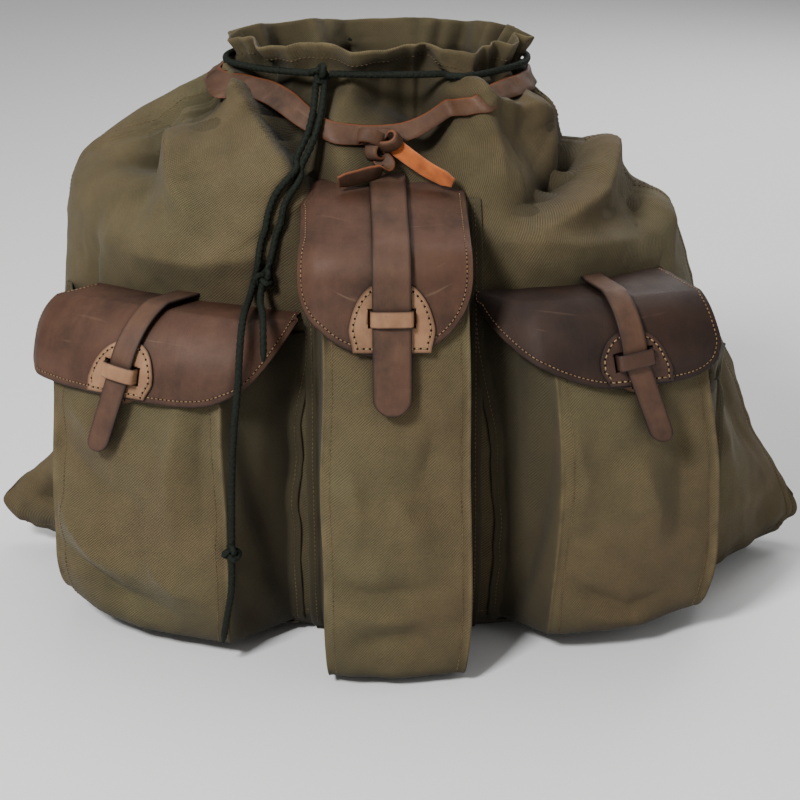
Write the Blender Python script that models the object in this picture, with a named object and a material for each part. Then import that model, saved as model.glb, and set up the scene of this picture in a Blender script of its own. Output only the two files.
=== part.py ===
"""Hunting rucksack: a canvas sack with a gathered mouth, three bellows pockets and leather flaps.

Metres, +Z up. The front, with the pockets, faces -Y, and the wearer's back is at +Y. Left and
right are as seen from the front. It is drawn with the sack's own middle at x = y = 0, and at the
end moved so that the origin is the middle of its footprint on the floor.
"""

import math
from collections import namedtuple

import bmesh
import bpy
import numpy as np
from mathutils import Vector

# Thicknesses of cloth and leather, and the gap that neighbours keep
CANVAS = 0.0016
FLAP_LEATHER = 0.0024
TRIM_LEATHER = 0.0018
STRAP_LEATHER = 0.0022
GAP = 0.0004
LAYER_GAP = 0.0007

# How finely each shape is faceted
SACK_COLUMNS = 48
SACK_RINGS = 19
POCKET_ROWS = 12
PANEL_COLUMNS = 6
GUSSET_COLUMNS = 3
FLAP_COLUMN = 0.026
FLAP_CORNER = 0.0045
FLAP_TOP_ROWS = 1
FLAP_BEND_ROWS = 6
FLAP_FRONT_ROWS = 3
PATCH_ROWS = 6
PATCH_COLUMNS = 5
STRAP_ROWS = 7
NECK_CORD_POINTS = 30

# The sack's horizontal sections. pinch above 1 draws the side seams out to a point.
SackRow = namedtuple("SackRow", "z left right front back pinch")
SACK = [
    SackRow(0.000, 0.150, 0.160, 0.095, 0.060, 1.00),
    SackRow(0.000, 0.222, 0.245, 0.140, 0.084, 1.15),
    SackRow(0.009, 0.250, 0.285, 0.157, 0.096, 1.30),
    SackRow(0.034, 0.268, 0.305, 0.166, 0.104, 1.40),
    SackRow(0.067, 0.272, 0.306, 0.168, 0.108, 1.35),
    SackRow(0.110, 0.267, 0.292, 0.166, 0.109, 1.25),
    SackRow(0.172, 0.265, 0.270, 0.160, 0.108, 1.15),
    SackRow(0.225, 0.262, 0.238, 0.150, 0.104, 1.08),
    SackRow(0.272, 0.256, 0.219, 0.137, 0.098, 1.04),
    SackRow(0.310, 0.250, 0.191, 0.121, 0.090, 1.00),
    SackRow(0.338, 0.235, 0.162, 0.105, 0.080, 1.00),
    SackRow(0.362, 0.205, 0.118, 0.086, 0.069, 1.00),
    SackRow(0.386, 0.150, 0.100, 0.066, 0.058, 1.00),
    SackRow(0.408, 0.118, 0.092, 0.054, 0.052, 1.00),
    SackRow(0.428, 0.126, 0.100, 0.060, 0.058, 1.00),
]
FACE_FLATNESS = 0.86

# The bottom corners, drawn out into floppy ears: angle round the sack, height and reach
Ear = namedtuple("Ear", "angle z reach spread height")
EARS = [
    Ear(math.radians(0), 0.032, 0.028, 0.26, 0.038),
    Ear(math.radians(180), 0.038, 0.056, 0.22, 0.034),
]

# Gathers at the mouth
PLEATS = 11
PLEAT_DEPTH = 0.008
PLEAT_MEAN = 0.35
PLEAT_START_Z = 0.325
PLEAT_FULL_Z = 0.395

# Large folds of the front, seen from the front: a line from one end to the other, how wide
# the fold is, and how far it stands out (or, negative, falls in)
Fold = namedtuple("Fold", "x0 z0 x1 z1 width height")
FRONT_FOLDS = [
    Fold(-0.205, 0.375, -0.225, 0.335, 0.016, 0.007),
    Fold(-0.160, 0.385, -0.220, 0.345, 0.014, -0.010),
    Fold(-0.178, 0.375, -0.176, 0.300, 0.018, 0.009),
    Fold(-0.215, 0.345, -0.205, 0.315, 0.022, -0.008),
    Fold(-0.120, 0.385, -0.090, 0.345, 0.014, 0.010),
    Fold(-0.095, 0.385, -0.072, 0.335, 0.012, -0.010),
    Fold(-0.055, 0.375, -0.050, 0.300, 0.020, 0.008),
    Fold(0.050, 0.385, 0.085, 0.300, 0.018, 0.010),
    Fold(0.110, 0.380, 0.150, 0.320, 0.018, -0.012),
    Fold(0.172, 0.350, 0.130, 0.305, 0.016, 0.010),
    Fold(0.195, 0.330, 0.200, 0.260, 0.014, 0.006),
]

# A pocket: where its middle meets the sack, the way it faces, the heights of the flap's seam
# and of its bend, half widths at the sack and of the panel, how far it stands out, how far
# its top leans back, and how much its panel bulges
Pocket = namedtuple("Pocket", "name x yaw seam_z brow_z seam_half panel_half depth lean bulge")
POCKETS = [
    Pocket("centre", 0.000, math.radians(2), 0.332, 0.315, 0.056, 0.053, 0.047, 0.018, 0.006),
    Pocket("left", -0.172, math.radians(-26), 0.252, 0.256, 0.106, 0.078, 0.042, 0.006, 0.010),
    Pocket("right", 0.160, math.radians(17), 0.264, 0.267, 0.100, 0.066, 0.038, 0.006, 0.008),
]

# A pocket's foot: how far it comes forward, its height over the floor, and how much higher
# its outer end is
Foot = namedtuple("Foot", "forward floor heel")
FEET = {
    "centre": Foot(0.028, 0.003, 0.000),
    "left": Foot(0.000, 0.009, 0.020),
    "right": Foot(0.000, 0.014, 0.006),
}

# A flap over a pocket: half width, how far it lies off the pocket's middle, how far its sides
# tuck in at the sack, how far it hangs below the bend, how much its outer and inner sides droop, where its
# strap crosses the loop, how the strap slants below and above it, and how long its tongue is
Flap = namedtuple(
    "Flap",
    "half shift tuck_out tuck_in drop droop_out droop_in strap_x slant up_slant strap_half tongue",
)
FLAPS = {
    "centre": Flap(0.058, -0.006, 0, 0, 0.054, 0.003, 0.003, -0.003, 0, 0, 0.0125, 0.095),
    "left": Flap(
        0.109, 0.001, 0.040, 0.012, 0.040, 0.016, 0.006, 0.000, -0.33, -0.21, 0.0085, 0.082
    ),
    "right": Flap(
        0.084, -0.016, 0.016, 0.008, 0.038, 0.005, 0.003, -0.0035, 0.36, 0.08, 0.0085, 0.080
    ),
}

# The hem at a flap's left and right ends: e at the very end, and the curve's two powers. The
# sides are drawn in from TUCK_END below the bend upwards
Hem = namedtuple("Hem", "end power root")
HEMS = {
    "centre": (Hem(0.004, 2.2, 0.50), Hem(-0.002, 2.2, 0.50)),
    "left": (Hem(0.006, 3.4, 0.55), Hem(-0.026, 5.0, 0.95)),
    "right": (Hem(-0.020, 1.6, 0.60), Hem(0.004, 5.0, 0.40)),
}
HEM_STEP = 0.0008
TUCK_END = 0.020

# The egg-shaped patch on a flap, and the loop that comes through the slot in it
Patch = namedtuple("Patch", "half top bottom loop_at")
PATCHES = {
    "centre": Patch(0.030, 0.001, 0.051, 0.027),
    "left": Patch(0.027, 0.000, 0.038, 0.020),
    "right": Patch(0.027, 0.000, 0.036, 0.018),
}
PATCH_CURVE = 2.3
PATCH_FOOT = 0.88
LOOP_TALL = 0.011
LOOP_CLEAR = 0.0010
LOOP_LEATHER = 0.0016
LOOP_TILT = 0.35
LOOP_SLANT_ROOM = 0.0070
SLOT_CLEAR = 0.0008
POCKET_PATCH_HALF = 0.022
POCKET_PATCH_ABOVE = 0.014
POCKET_PATCH_BELOW = 0.026

# A pocket's shape from its top edge down and under: share of the height, share of the
# depth, and shares of the panel's width and of the width at the sack
PocketRow = namedtuple("PocketRow", "down depth panel seam")
POCKET_SHAPE = [
    PocketRow(0.00, 0.96, 0.96, 0.96),
    PocketRow(0.12, 1.00, 0.98, 1.00),
    PocketRow(0.35, 1.06, 1.00, 1.00),
    PocketRow(0.62, 1.10, 1.02, 1.00),
    PocketRow(0.82, 1.12, 1.02, 1.00),
    PocketRow(0.93, 1.08, 0.99, 0.99),
    PocketRow(0.985, 0.94, 0.94, 0.97),
    PocketRow(1.00, 0.66, 0.88, 0.92),
    PocketRow(1.00, 0.00, 0.78, 0.80),
]
POCKET_SINK = 0.024
POCKET_UNDER = 0.014
POCKET_CLEAR = 0.0010
GUSSET_RISE = 0.004
GUSSET_SAG = 0.004

# The flap's bend over the pocket's front edge, and the layers over the panel
BEND_RADIUS = 0.016
SOFT_BEND = {"centre": 0.020, "left": 0.042, "right": 0.042}
BEND_TURN = math.radians(72)
FLAP_SINK = 0.008
LONGEST_TOP = 0.130
SIDE_FALL = 0.040
POCKET_PATCH_LIFT = LAYER_GAP
FLAP_LIFT = POCKET_PATCH_LIFT + TRIM_LEATHER + LAYER_GAP
PATCH_LIFT = FLAP_LIFT + FLAP_LEATHER + LAYER_GAP
STRAP_LIFT = PATCH_LIFT + TRIM_LEATHER + LAYER_GAP
LOOP_LIFT = STRAP_LIFT + STRAP_LEATHER + LOOP_CLEAR

# The drawcord round the neck, its knot, and its two free ends from the knot downwards
CORD_RADIUS = 0.0025
CORD_RESOLUTION = 2
CORD_STEP = 0.0125
NECK_CORD_Z = 0.411
NECK_CORD_LIFT = 0.0032
CORD_KNOT_TURN = math.radians(-113)
Knot = namedtuple("Knot", "x y z wide deep tall")
CORD_KNOT = Knot(0.0, 0.0, 0.0, 0.0085, 0.0048, 0.0058)
KNOT_SWELL = 1.9
KNOT_HALF = 0.0075
FREE_CORDS = ("drawcord_long_end", "drawcord_short_end")
LONG_KNOT_AT = 0.398
SHORT_KNOT_AT = 0.160
RoutePoint = namedtuple("RoutePoint", "x y z")
LONG_END = [
    RoutePoint(-0.0575, -0.0608, 0.4048),
    RoutePoint(-0.0590, -0.0800, 0.3890),
    RoutePoint(-0.0630, -0.0915, 0.3740),
    RoutePoint(-0.0690, -0.0965, 0.3620),
    RoutePoint(-0.0785, -0.1040, 0.3460),
    RoutePoint(-0.0885, -0.1155, 0.3270),
    RoutePoint(-0.0960, -0.1230, 0.3000),
    RoutePoint(-0.1020, -0.1330, 0.2740),
    RoutePoint(-0.1045, -0.1440, 0.2660),
    RoutePoint(-0.1058, -0.1650, 0.2662),
    RoutePoint(-0.1068, -0.1850, 0.2622),
    RoutePoint(-0.1080, -0.1985, 0.2480),
    RoutePoint(-0.1100, -0.2020, 0.2200),
    RoutePoint(-0.1130, -0.2030, 0.1930),
    RoutePoint(-0.1155, -0.2035, 0.1650),
    RoutePoint(-0.1170, -0.2050, 0.1250),
    RoutePoint(-0.1182, -0.2070, 0.0800),
    RoutePoint(-0.1190, -0.2085, 0.0620),
    RoutePoint(-0.1225, -0.2090, 0.0430),
    RoutePoint(-0.1265, -0.2080, 0.0200),
]
SHORT_END = [
    RoutePoint(-0.0512, -0.0608, 0.4042),
    RoutePoint(-0.0530, -0.0805, 0.3890),
    RoutePoint(-0.0572, -0.0920, 0.3740),
    RoutePoint(-0.0628, -0.0975, 0.3610),
    RoutePoint(-0.0720, -0.1060, 0.3460),
    RoutePoint(-0.0800, -0.1165, 0.3270),
    RoutePoint(-0.0850, -0.1245, 0.3080),
    RoutePoint(-0.0900, -0.1310, 0.2900),
    RoutePoint(-0.0955, -0.1410, 0.2740),
    RoutePoint(-0.0960, -0.1570, 0.2675),
    RoutePoint(-0.0930, -0.1750, 0.2650),
    RoutePoint(-0.0920, -0.1905, 0.2580),
    RoutePoint(-0.0918, -0.1960, 0.2370),
]

# The leather thong round the neck, with its knot and two tails
THONG_COLUMNS = 36
THONG_TALL = 0.012
THONG_LEATHER = 0.0022
THONG_LIFT = 0.0030
THONG_FRONT_Z = 0.372
THONG_BACK_Z = 0.399
THONG_DIP_TURN = math.radians(-94)
THONG_DIP_SPREAD = math.radians(32)
THONG_KNOT = Knot(-0.0115, -0.1012, 0.3700, 0.0120, 0.0075, 0.0105)
THONG_TAIL_LONG = [
    RoutePoint(-0.0100, -0.1036, 0.3600),
    RoutePoint(-0.0060, -0.1080, 0.3550),
    RoutePoint(-0.0130, -0.1105, 0.3515),
    RoutePoint(-0.0260, -0.1130, 0.3480),
    RoutePoint(-0.0400, -0.1155, 0.3450),
]
TAIL_ACROSS = (0.35, -0.30, 0.80)
THONG_TAIL_SHORT = [
    RoutePoint(0.0000, -0.0990, 0.3672),
    RoutePoint(0.0120, -0.1030, 0.3590),
    RoutePoint(0.0250, -0.1070, 0.3510),
    RoutePoint(0.0420, -0.1110, 0.3430),
]

# A shoulder strap from its anchor to its buckle: distance from the middle, how far it stands
# off the sack's back, and height
ShoulderRow = namedtuple("ShoulderRow", "x off z")
SHOULDER = [
    ShoulderRow(0.018, 0.0068, 0.296),
    ShoulderRow(0.024, 0.0300, 0.318),
    ShoulderRow(0.042, 0.0620, 0.300),
    ShoulderRow(0.078, 0.0820, 0.240),
    ShoulderRow(0.115, 0.0880, 0.170),
    ShoulderRow(0.148, 0.0760, 0.105),
    ShoulderRow(0.174, 0.0540, 0.058),
]
LOWER_X = 0.186
LOWER_Z = 0.042
LOWER_RUN = [0.034, 0.018, 0.0042]
Buckle = namedtuple("Buckle", "off thick wire clear")
BUCKLE = Buckle(0.0061, 0.004, 0.0045, 0.0009)
SHOULDER_HALF = 0.016
SHOULDER_LEATHER = 0.003
TAB_HALF = 0.019
TAB_HALF_TALL = 0.014
SHOULDER_STEP = 0.030
BACK_LIFT = 0.0008
ANCHOR_Z = 0.298
ANCHOR_HALF = 0.036
ANCHOR_HALF_TALL = 0.020


def clear_scene():
    for obj in list(bpy.data.objects):
        bpy.data.objects.remove(obj)


def material(name, colour, roughness):
    made = bpy.data.materials.new(name)
    made.use_nodes = True
    shader = made.node_tree.nodes["Principled BSDF"]
    shader.inputs["Base Color"].default_value = (*colour, 1.0)
    shader.inputs["Roughness"].default_value = roughness
    shader.inputs["Metallic"].default_value = 0.0
    return made


# Arithmetic


def spline(at, knots, values):
    """A monotone cubic through values at the knots, so that a section never overshoots."""
    knots = np.asarray(knots, float)
    values = np.asarray(values, float)
    step = np.diff(knots)
    slope = np.diff(values) / step
    both = slope[:-1] + slope[1:]
    mean = 2 * slope[:-1] * slope[1:] / np.where(both == 0, 1, both)
    inner = np.where(slope[:-1] * slope[1:] > 0, mean, 0.0)
    tangent = np.concatenate([slope[:1], inner, slope[-1:]])
    at = np.clip(np.asarray(at, float), knots[0], knots[-1])
    i = np.clip(np.searchsorted(knots, at, side="right") - 1, 0, len(step) - 1)
    u = (at - knots[i]) / step[i]
    return (
        (2 * u**3 - 3 * u**2 + 1) * values[i]
        + (u**3 - 2 * u**2 + u) * step[i] * tangent[i]
        + (3 * u**2 - 2 * u**3) * values[i + 1]
        + (u**3 - u**2) * step[i] * tangent[i + 1]
    )


def row_spline(rows, name, at):
    return spline(at, range(len(rows)), [getattr(row, name) for row in rows])


def unit(vectors):
    return vectors / np.maximum(np.linalg.norm(vectors, axis=-1, keepdims=True), 1e-12)


def smooth_step(x):
    x = np.clip(x, 0.0, 1.0)
    return x * x * (3 - 2 * x)


# The sack's surface


def plain_sack(angle, level):
    """The sack without folds. angle is 0 at the right side seam and grows towards the back."""
    c, s = np.cos(angle), np.sin(angle)
    half_width = np.where(c > 0, row_spline(SACK, "right", level), row_spline(SACK, "left", level))
    half_depth = np.where(s > 0, row_spline(SACK, "back", level), row_spline(SACK, "front", level))
    pinch = row_spline(SACK, "pinch", level)
    z = row_spline(SACK, "z", level)
    x = half_width * np.sign(c) * np.abs(c) ** FACE_FLATNESS
    y = half_depth * np.sign(s) * np.abs(s) ** pinch
    for ear in EARS:
        turn = (angle - ear.angle + math.pi) % (2 * math.pi) - math.pi
        out = ear.reach * np.exp(-((turn / ear.spread) ** 2) - ((z - ear.z) / ear.height) ** 2)
        x = x + out * math.cos(ear.angle)
    return np.stack([x, y, z], axis=-1)


def gather(angle, z):
    """Pleats that deepen towards the mouth, unevenly spaced."""
    phase = PLEATS * angle + 0.8 * np.sin(2 * angle + 0.6) + 0.3 * np.sin(5 * angle + 2.0)
    grown = smooth_step((z - PLEAT_START_Z) / (PLEAT_FULL_Z - PLEAT_START_Z))
    uneven = 0.75 + 0.25 * np.sin(3 * angle + 0.9)
    return PLEAT_DEPTH * grown * uneven * (np.cos(phase) - PLEAT_MEAN)


def front_folds(x, y, z):
    """How far the front's large folds push the cloth out."""
    out = np.zeros_like(x)
    for fold in FRONT_FOLDS:
        along = np.array([fold.x1 - fold.x0, fold.z1 - fold.z0])
        share = ((x - fold.x0) * along[0] + (z - fold.z0) * along[1]) / (along @ along)
        near = np.clip(share, 0.0, 1.0)
        away = np.hypot(x - fold.x0 - near * along[0], z - fold.z0 - near * along[1])
        out = out + fold.height * np.exp(-((away / fold.width) ** 2))
    return out * smooth_step((0.02 - y) / 0.05)


def sack_surface(angle, level):
    """(points, outward normals) of the sack's outside."""
    angle, level = np.broadcast_arrays(np.asarray(angle, float), np.asarray(level, float))
    top = len(SACK) - 1
    step = 1e-3
    at = plain_sack(angle, level)
    round_it = plain_sack(angle + step, level) - plain_sack(angle - step, level)
    up = plain_sack(angle, np.minimum(level + step, top)) - plain_sack(angle, np.maximum(level - step, 0))
    normal = unit(np.cross(round_it, up))
    push = gather(angle, at[..., 2]) + front_folds(at[..., 0], at[..., 1], at[..., 2])
    return at + normal * push[..., None], normal


def front_y(x, z):
    """How far forward the plain sack's front is at this x and height."""
    x, z = np.broadcast_arrays(np.asarray(x, float), np.asarray(z, float))
    level = np.interp(z, [row.z for row in SACK[1:]], np.arange(1, len(SACK)))
    half = np.where(x > 0, row_spline(SACK, "right", level), row_spline(SACK, "left", level))
    c = np.clip(np.abs(x) / half, 0, 0.999) ** (1 / FACE_FLATNESS)
    return plain_sack(-np.arccos(np.sign(x) * c), level)[..., 1]


# Solids


def halves(ring):
    """A four-sided face split along its first and third corners, the same way in every mesh."""
    return [[ring[0], ring[1], ring[2]], [ring[0], ring[2], ring[3]]]


def solid(name, points, faces, mat, sharp=40):
    mesh = bpy.data.meshes.new(name)
    mesh.from_pydata([tuple(map(float, p)) for p in points], [], faces)
    work = bmesh.new()
    work.from_mesh(mesh)
    bmesh.ops.recalc_face_normals(work, faces=work.faces)
    if work.calc_volume(signed=True) < 0:
        bmesh.ops.reverse_faces(work, faces=work.faces)
    work.to_mesh(mesh)
    work.free()
    mesh.shade_smooth()
    mesh.set_sharp_from_angle(angle=math.radians(sharp))
    mesh.materials.append(mat)
    obj = bpy.data.objects.new(name, mesh)
    bpy.context.scene.collection.objects.link(obj)
    return obj


def shell(name, outer, inner, mat, wrap=False, poles=None):
    """One closed solid between two grids of points. poles closes the first row to a point."""
    rows, cols = outer.shape[:2]
    points = [tuple(p) for grid in (outer, inner) for p in grid.reshape(-1, 3)]
    faces = []
    across = cols if wrap else cols - 1

    def at(layer, r, c):
        return layer * rows * cols + r * cols + c % cols

    for r in range(rows - 1):
        for c in range(across):
            ring = [at(0, r, c), at(0, r, c + 1), at(0, r + 1, c + 1), at(0, r + 1, c)]
            faces += halves(ring)
            faces += [[i + rows * cols for i in half[::-1]] for half in halves(ring)]
    for c in range(across):
        last = rows - 1
        faces.append([at(0, last, c), at(0, last, c + 1), at(1, last, c + 1), at(1, last, c)])
        if poles is None:
            faces.append([at(1, 0, c), at(1, 0, c + 1), at(0, 0, c + 1), at(0, 0, c)])
    if poles is not None:
        first_pole = len(points)
        points += [tuple(p) for p in poles]
        for c in range(across):
            faces.append([first_pole, at(0, 0, c + 1), at(0, 0, c)])
            faces.append([first_pole + 1, at(1, 0, c), at(1, 0, c + 1)])
    if not wrap:
        end = cols - 1
        for r in range(rows - 1):
            faces.append([at(0, r, 0), at(0, r + 1, 0), at(1, r + 1, 0), at(1, r, 0)])
            faces.append([at(1, r, end), at(1, r + 1, end), at(0, r + 1, end), at(0, r, end)])
    return solid(name, points, faces, mat)


def cut(obj, cutter):
    boolean = obj.modifiers.new("Cut", "BOOLEAN")
    boolean.operation = "DIFFERENCE"
    boolean.solver = "EXACT"
    boolean.object = cutter


def hide_cutter(obj):
    obj.hide_render = True
    obj.display_type = "WIRE"
    return obj


# The sack and its form, which cuts what is sewn on it


def make_sack(canvas):
    levels = np.linspace(0, len(SACK) - 1, SACK_RINGS)
    angles = np.linspace(0, 2 * math.pi, SACK_COLUMNS, endpoint=False)
    outer, normal = sack_surface(angles[None, :], levels[:, None])
    inner = outer - normal * CANVAS
    outer[..., 2] = np.maximum(outer[..., 2], 0.0)
    inner[..., 2] = np.maximum(inner[..., 2], CANVAS)
    poles = [(0, 0, 0), (0, 0, CANVAS)]
    shell("sack", outer, inner, canvas, wrap=True, poles=poles)
    return make_form(outer + normal * GAP, canvas)


def make_form(grid, mat):
    """The sack's outside plus the gap, closed to a point at its bottom and its top."""
    rows, cols = grid.shape[:2]
    bottom, top = rows * cols, rows * cols + 1
    points = list(grid.reshape(-1, 3)) + [grid[0].mean(axis=0), grid[-1].mean(axis=0)]
    faces = []
    for c in range(cols):
        n = (c + 1) % cols
        last = (rows - 1) * cols
        faces.append([bottom, n, c])
        faces.append([top, last + c, last + n])
        for r in range(rows - 1):
            faces += halves([r * cols + c, r * cols + n, (r + 1) * cols + n, (r + 1) * cols + c])
    return hide_cutter(solid("sack_form", points, faces, mat))


# Pockets


class Front:
    """The front of one pocket: its directions, its panel and the flap that hangs over it."""

    def __init__(self, pocket):
        self.pocket = pocket
        self.flap = FLAPS[pocket.name]
        self.patch = PATCHES[pocket.name]
        self.foot = FEET[pocket.name]
        self.out = np.array([math.sin(pocket.yaw), -math.cos(pocket.yaw), 0.0])
        self.across = np.array([math.cos(pocket.yaw), math.sin(pocket.yaw), 0.0])
        self.root = np.array([pocket.x, float(front_y(pocket.x, pocket.brow_z / 2)), 0.0])
        self.top_z = pocket.brow_z - BEND_RADIUS
        self.tall = self.top_z - self.foot.floor
        self.radius = SOFT_BEND[pocket.name]
        self.ease = self.radius - BEND_RADIUS
        self.bend = self.radius * BEND_TURN - self.ease
        self.bend_z = pocket.brow_z - self.radius
        behind = float(front_y(pocket.x, pocket.seam_z)) - self.root[1]
        top_run = float(self.panel_out(0.0, self.bend_z)) - self.radius * (1 - math.cos(BEND_TURN))
        bend_top_z = self.bend_z + self.radius * math.sin(BEND_TURN)
        self.rise = math.atan2(pocket.seam_z - bend_top_z, top_run + behind)

    def at(self, x, out, z):
        """World points from a distance across, a distance out from the sack, and a height."""
        x, out, z = np.broadcast_arrays(x, out, z)
        level = np.multiply.outer(z, [0.0, 0.0, 1.0])
        return self.root + x[..., None] * self.across + out[..., None] * self.out + level

    def panel_out(self, x, z):
        """How far out the panel's outside is. Past the panel's edge it falls back."""
        share = np.clip((self.top_z - z) / self.tall, 0.0, 1.0)
        down = [row.down for row in POCKET_SHAPE[:-1]]
        row = np.interp(share, down, np.arange(len(down)))
        depth = self.pocket.depth * row_spline(POCKET_SHAPE, "depth", row) - self.lean(z)
        crown = 1 - (x / self.pocket.panel_half) ** 2
        past = np.clip((np.abs(x) - self.pocket.panel_half) / 0.03, 0.0, 2.0)
        return depth + self.pocket.bulge * np.maximum(crown, 0.0) - SIDE_FALL * past**1.4

    def lean(self, z):
        """How far the panel leans back at this height. At the foot it is less than nothing."""
        share = np.clip(z / self.top_z, 0.0, 1.0)
        return self.pocket.lean * share**2 - self.foot.forward * (1 - share) ** 3

    def droop(self, x):
        off = (x - self.flap.shift) / self.flap.half * math.copysign(1.0, self.pocket.x)
        return np.where(off > 0, self.flap.droop_out, self.flap.droop_in) * np.abs(off) ** 3

    def ease_in(self, z):
        """How far the soft bend has turned in from the panel at this height."""
        share = np.clip((z - self.bend_z) / self.radius, 0.0, 0.98)
        return self.radius * (1 - np.sqrt(1 - share**2))

    def surface(self, x, e):
        """The panel's outside carried on over the bend and back to the sack. e is the distance
        below the bend, or, negative, behind it."""
        x, e = np.broadcast_arrays(np.asarray(x, float), np.asarray(e, float) - self.ease)
        front_z = self.bend_z - np.maximum(e, 0.0)
        out = self.panel_out(x, front_z)
        turn = np.clip(-e / self.radius, 0.0, BEND_TURN)
        out = out - self.radius * (1 - np.cos(turn))
        z = front_z + self.radius * np.sin(turn)
        back = np.maximum(-e - self.radius * BEND_TURN, 0.0)
        out = out - back * math.cos(self.rise)
        z = z + back * math.sin(self.rise)
        return self.at(x, out, z - self.droop(x))

    def lifted(self, x, e, lift):
        step = 5e-4
        across = self.surface(x + step, e) - self.surface(x - step, e)
        along = self.surface(x, e + step) - self.surface(x, e - step)
        normal = unit(np.cross(across, -along))
        return self.surface(x, e) + normal * lift

    def layer(self, name, x, e, lift, thickness, mat):
        """A sheet over the pocket's front with this thickness, on grids of x and e."""
        outer = self.lifted(x, e, lift + thickness)
        return shell(name, outer, self.lifted(x, e, lift), mat)

    def sewn_e(self, x):
        """The e, behind the bend, at which the flap has just gone into the sack at this x."""
        x = np.asarray(x, float)
        run = np.zeros_like(x)
        for _ in range(8):
            place = self.surface(x, -self.bend - run)
            ahead = front_y(place[..., 0], place[..., 2]) - place[..., 1]
            run = np.clip(run + 0.8 * ahead / math.cos(self.pocket.yaw), 0.0, LONGEST_TOP)
        return -(self.bend + run + FLAP_SINK)

    def tuck(self, x):
        """How far the flap is drawn in at the sack at this x."""
        outer = math.copysign(1.0, self.pocket.x)
        share_out = np.clip(outer * x / self.flap.half, 0.0, 1.0) ** 2
        share_in = np.clip(-outer * x / self.flap.half, 0.0, 1.0) ** 2
        return outer * (self.flap.tuck_out * share_out - self.flap.tuck_in * share_in)

    def rows_down(self, x, low):
        """(x, e) grids from the sack, over the bend and down to the e of each x's end."""
        sewn = self.sewn_e(x - self.tuck(x))
        top = np.linspace(1, 0, FLAP_TOP_ROWS + 1)[:-1, None]
        bend = np.linspace(-self.bend, self.ease, FLAP_BEND_ROWS + 1)[:-1, None]
        front = np.linspace(0, 1, FLAP_FRONT_ROWS + 1)[:, None]
        rows = [
            -self.bend + (sewn + self.bend) * top,
            np.broadcast_to(bend, (FLAP_BEND_ROWS, len(x))),
            self.ease + (np.maximum(low, self.ease) - self.ease) * front,
        ]
        e = np.concatenate(rows)
        e = np.minimum(e, low - HEM_STEP * np.arange(len(e))[::-1, None])
        drawn_in = np.clip((e - TUCK_END) / (sewn - TUCK_END), 0.0, 1.0)
        return x - self.tuck(x) * drawn_in, e

    def strap_x(self, e):
        below = np.asarray(e, float) - self.patch.loop_at
        slant = np.where(below > 0, self.flap.slant, self.flap.up_slant)
        return self.flap.strap_x + slant * below


def pocket_grid(front):
    """The outside of a pocket, from its top edge down and under, and in to the sack."""
    pocket = front.pocket
    rows = []
    for row in np.linspace(0, len(POCKET_SHAPE) - 1, POCKET_ROWS):
        down = float(row_spline(POCKET_SHAPE, "down", row))
        share = float(row_spline(POCKET_SHAPE, "depth", row))
        half = pocket.panel_half * float(row_spline(POCKET_SHAPE, "panel", row))
        seam_half = pocket.seam_half * float(row_spline(POCKET_SHAPE, "seam", row))
        rise = (pocket.seam_z - pocket.brow_z + GUSSET_RISE) * smooth_step(1 - 4 * down)
        z = front.top_z - down * front.tall
        x = np.linspace(-half, half, PANEL_COLUMNS)
        out = pocket.depth * share + pocket.bulge * min(1.0, share) * (1 - (x / half) ** 2)
        out = out - POCKET_UNDER * max(1 - share, 0.0) ** 2 - front.lean(z) * min(1.0, share)
        under_flap = float(smooth_step((z - front.bend_z) / BEND_RADIUS + 1))
        out = out - front.ease_in(z) - POCKET_CLEAR * under_flap
        outer_share = np.clip(x / half * math.copysign(1.0, pocket.x), 0.0, 1.0)
        heel = front.foot.heel * smooth_step((down - 0.4) / 0.6)
        panel = front.at(x, out, z + heel * outer_share**2)
        back = np.array([-1, 1]) * seam_half
        outer_end = np.clip(back * pocket.x, 0.0, None) > 0
        seams = front.at(back, np.full(2, -POCKET_SINK), z + rise + heel * outer_end)
        steps = np.linspace(0, 1, GUSSET_COLUMNS + 1)[:-1, None]
        sag = GUSSET_SAG * smooth_step(8 * (1 - down)) * np.sin(math.pi * steps) * front.across
        left = seams[0] * (1 - steps) + panel[0] * steps + sag
        right = seams[1] * (1 - steps) + panel[-1] * steps - sag
        rows.append(np.concatenate([left, panel, right[::-1]]))
    return np.array(rows)


def make_pocket(front, canvas, form):
    grid = pocket_grid(front)
    across = np.gradient(grid, axis=1)
    normal = unit(np.cross(across, np.gradient(grid, axis=0)))
    inner = grid + normal * CANVAS
    obj = shell(f"pocket_{front.pocket.name}", grid, inner, canvas)
    cut(obj, form)
    return obj


# Flaps, and what is sewn and threaded on them


def hem(front, x):
    """How far below the bend the flap's hem is at this x."""
    share = np.clip((x - front.flap.shift) / front.flap.half, -1.0, 1.0)
    left, right = [
        side.end + (front.flap.drop - side.end) * (1 - np.abs(share) ** side.power) ** side.root
        for side in HEMS[front.pocket.name]
    ]
    return np.where(share < 0, left, right)


def flap_columns(front):
    """Places across a flap, with one at each edge of the panel under it."""
    flap, panel = front.flap, front.pocket.panel_half
    first, last = flap.shift - flap.half, flap.shift + flap.half
    inner = [first + FLAP_CORNER, -panel, panel, last - FLAP_CORNER]
    stops = [first] + sorted(x for x in inner if first < x < last) + [last]
    places = [np.array(stops[:1])]
    for start, end in zip(stops, stops[1:]):
        count = max(1, round((end - start) / FLAP_COLUMN))
        places.append(np.linspace(start, end, count + 1)[1:])
    return np.concatenate(places)


def make_flap(front, leather, form, slot):
    x = flap_columns(front)
    x, e = front.rows_down(x, hem(front, x))
    name = f"flap_{front.pocket.name}"
    obj = front.layer(name, x, e, FLAP_LIFT, FLAP_LEATHER, leather)
    cut(obj, form)
    cut(obj, slot)


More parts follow.
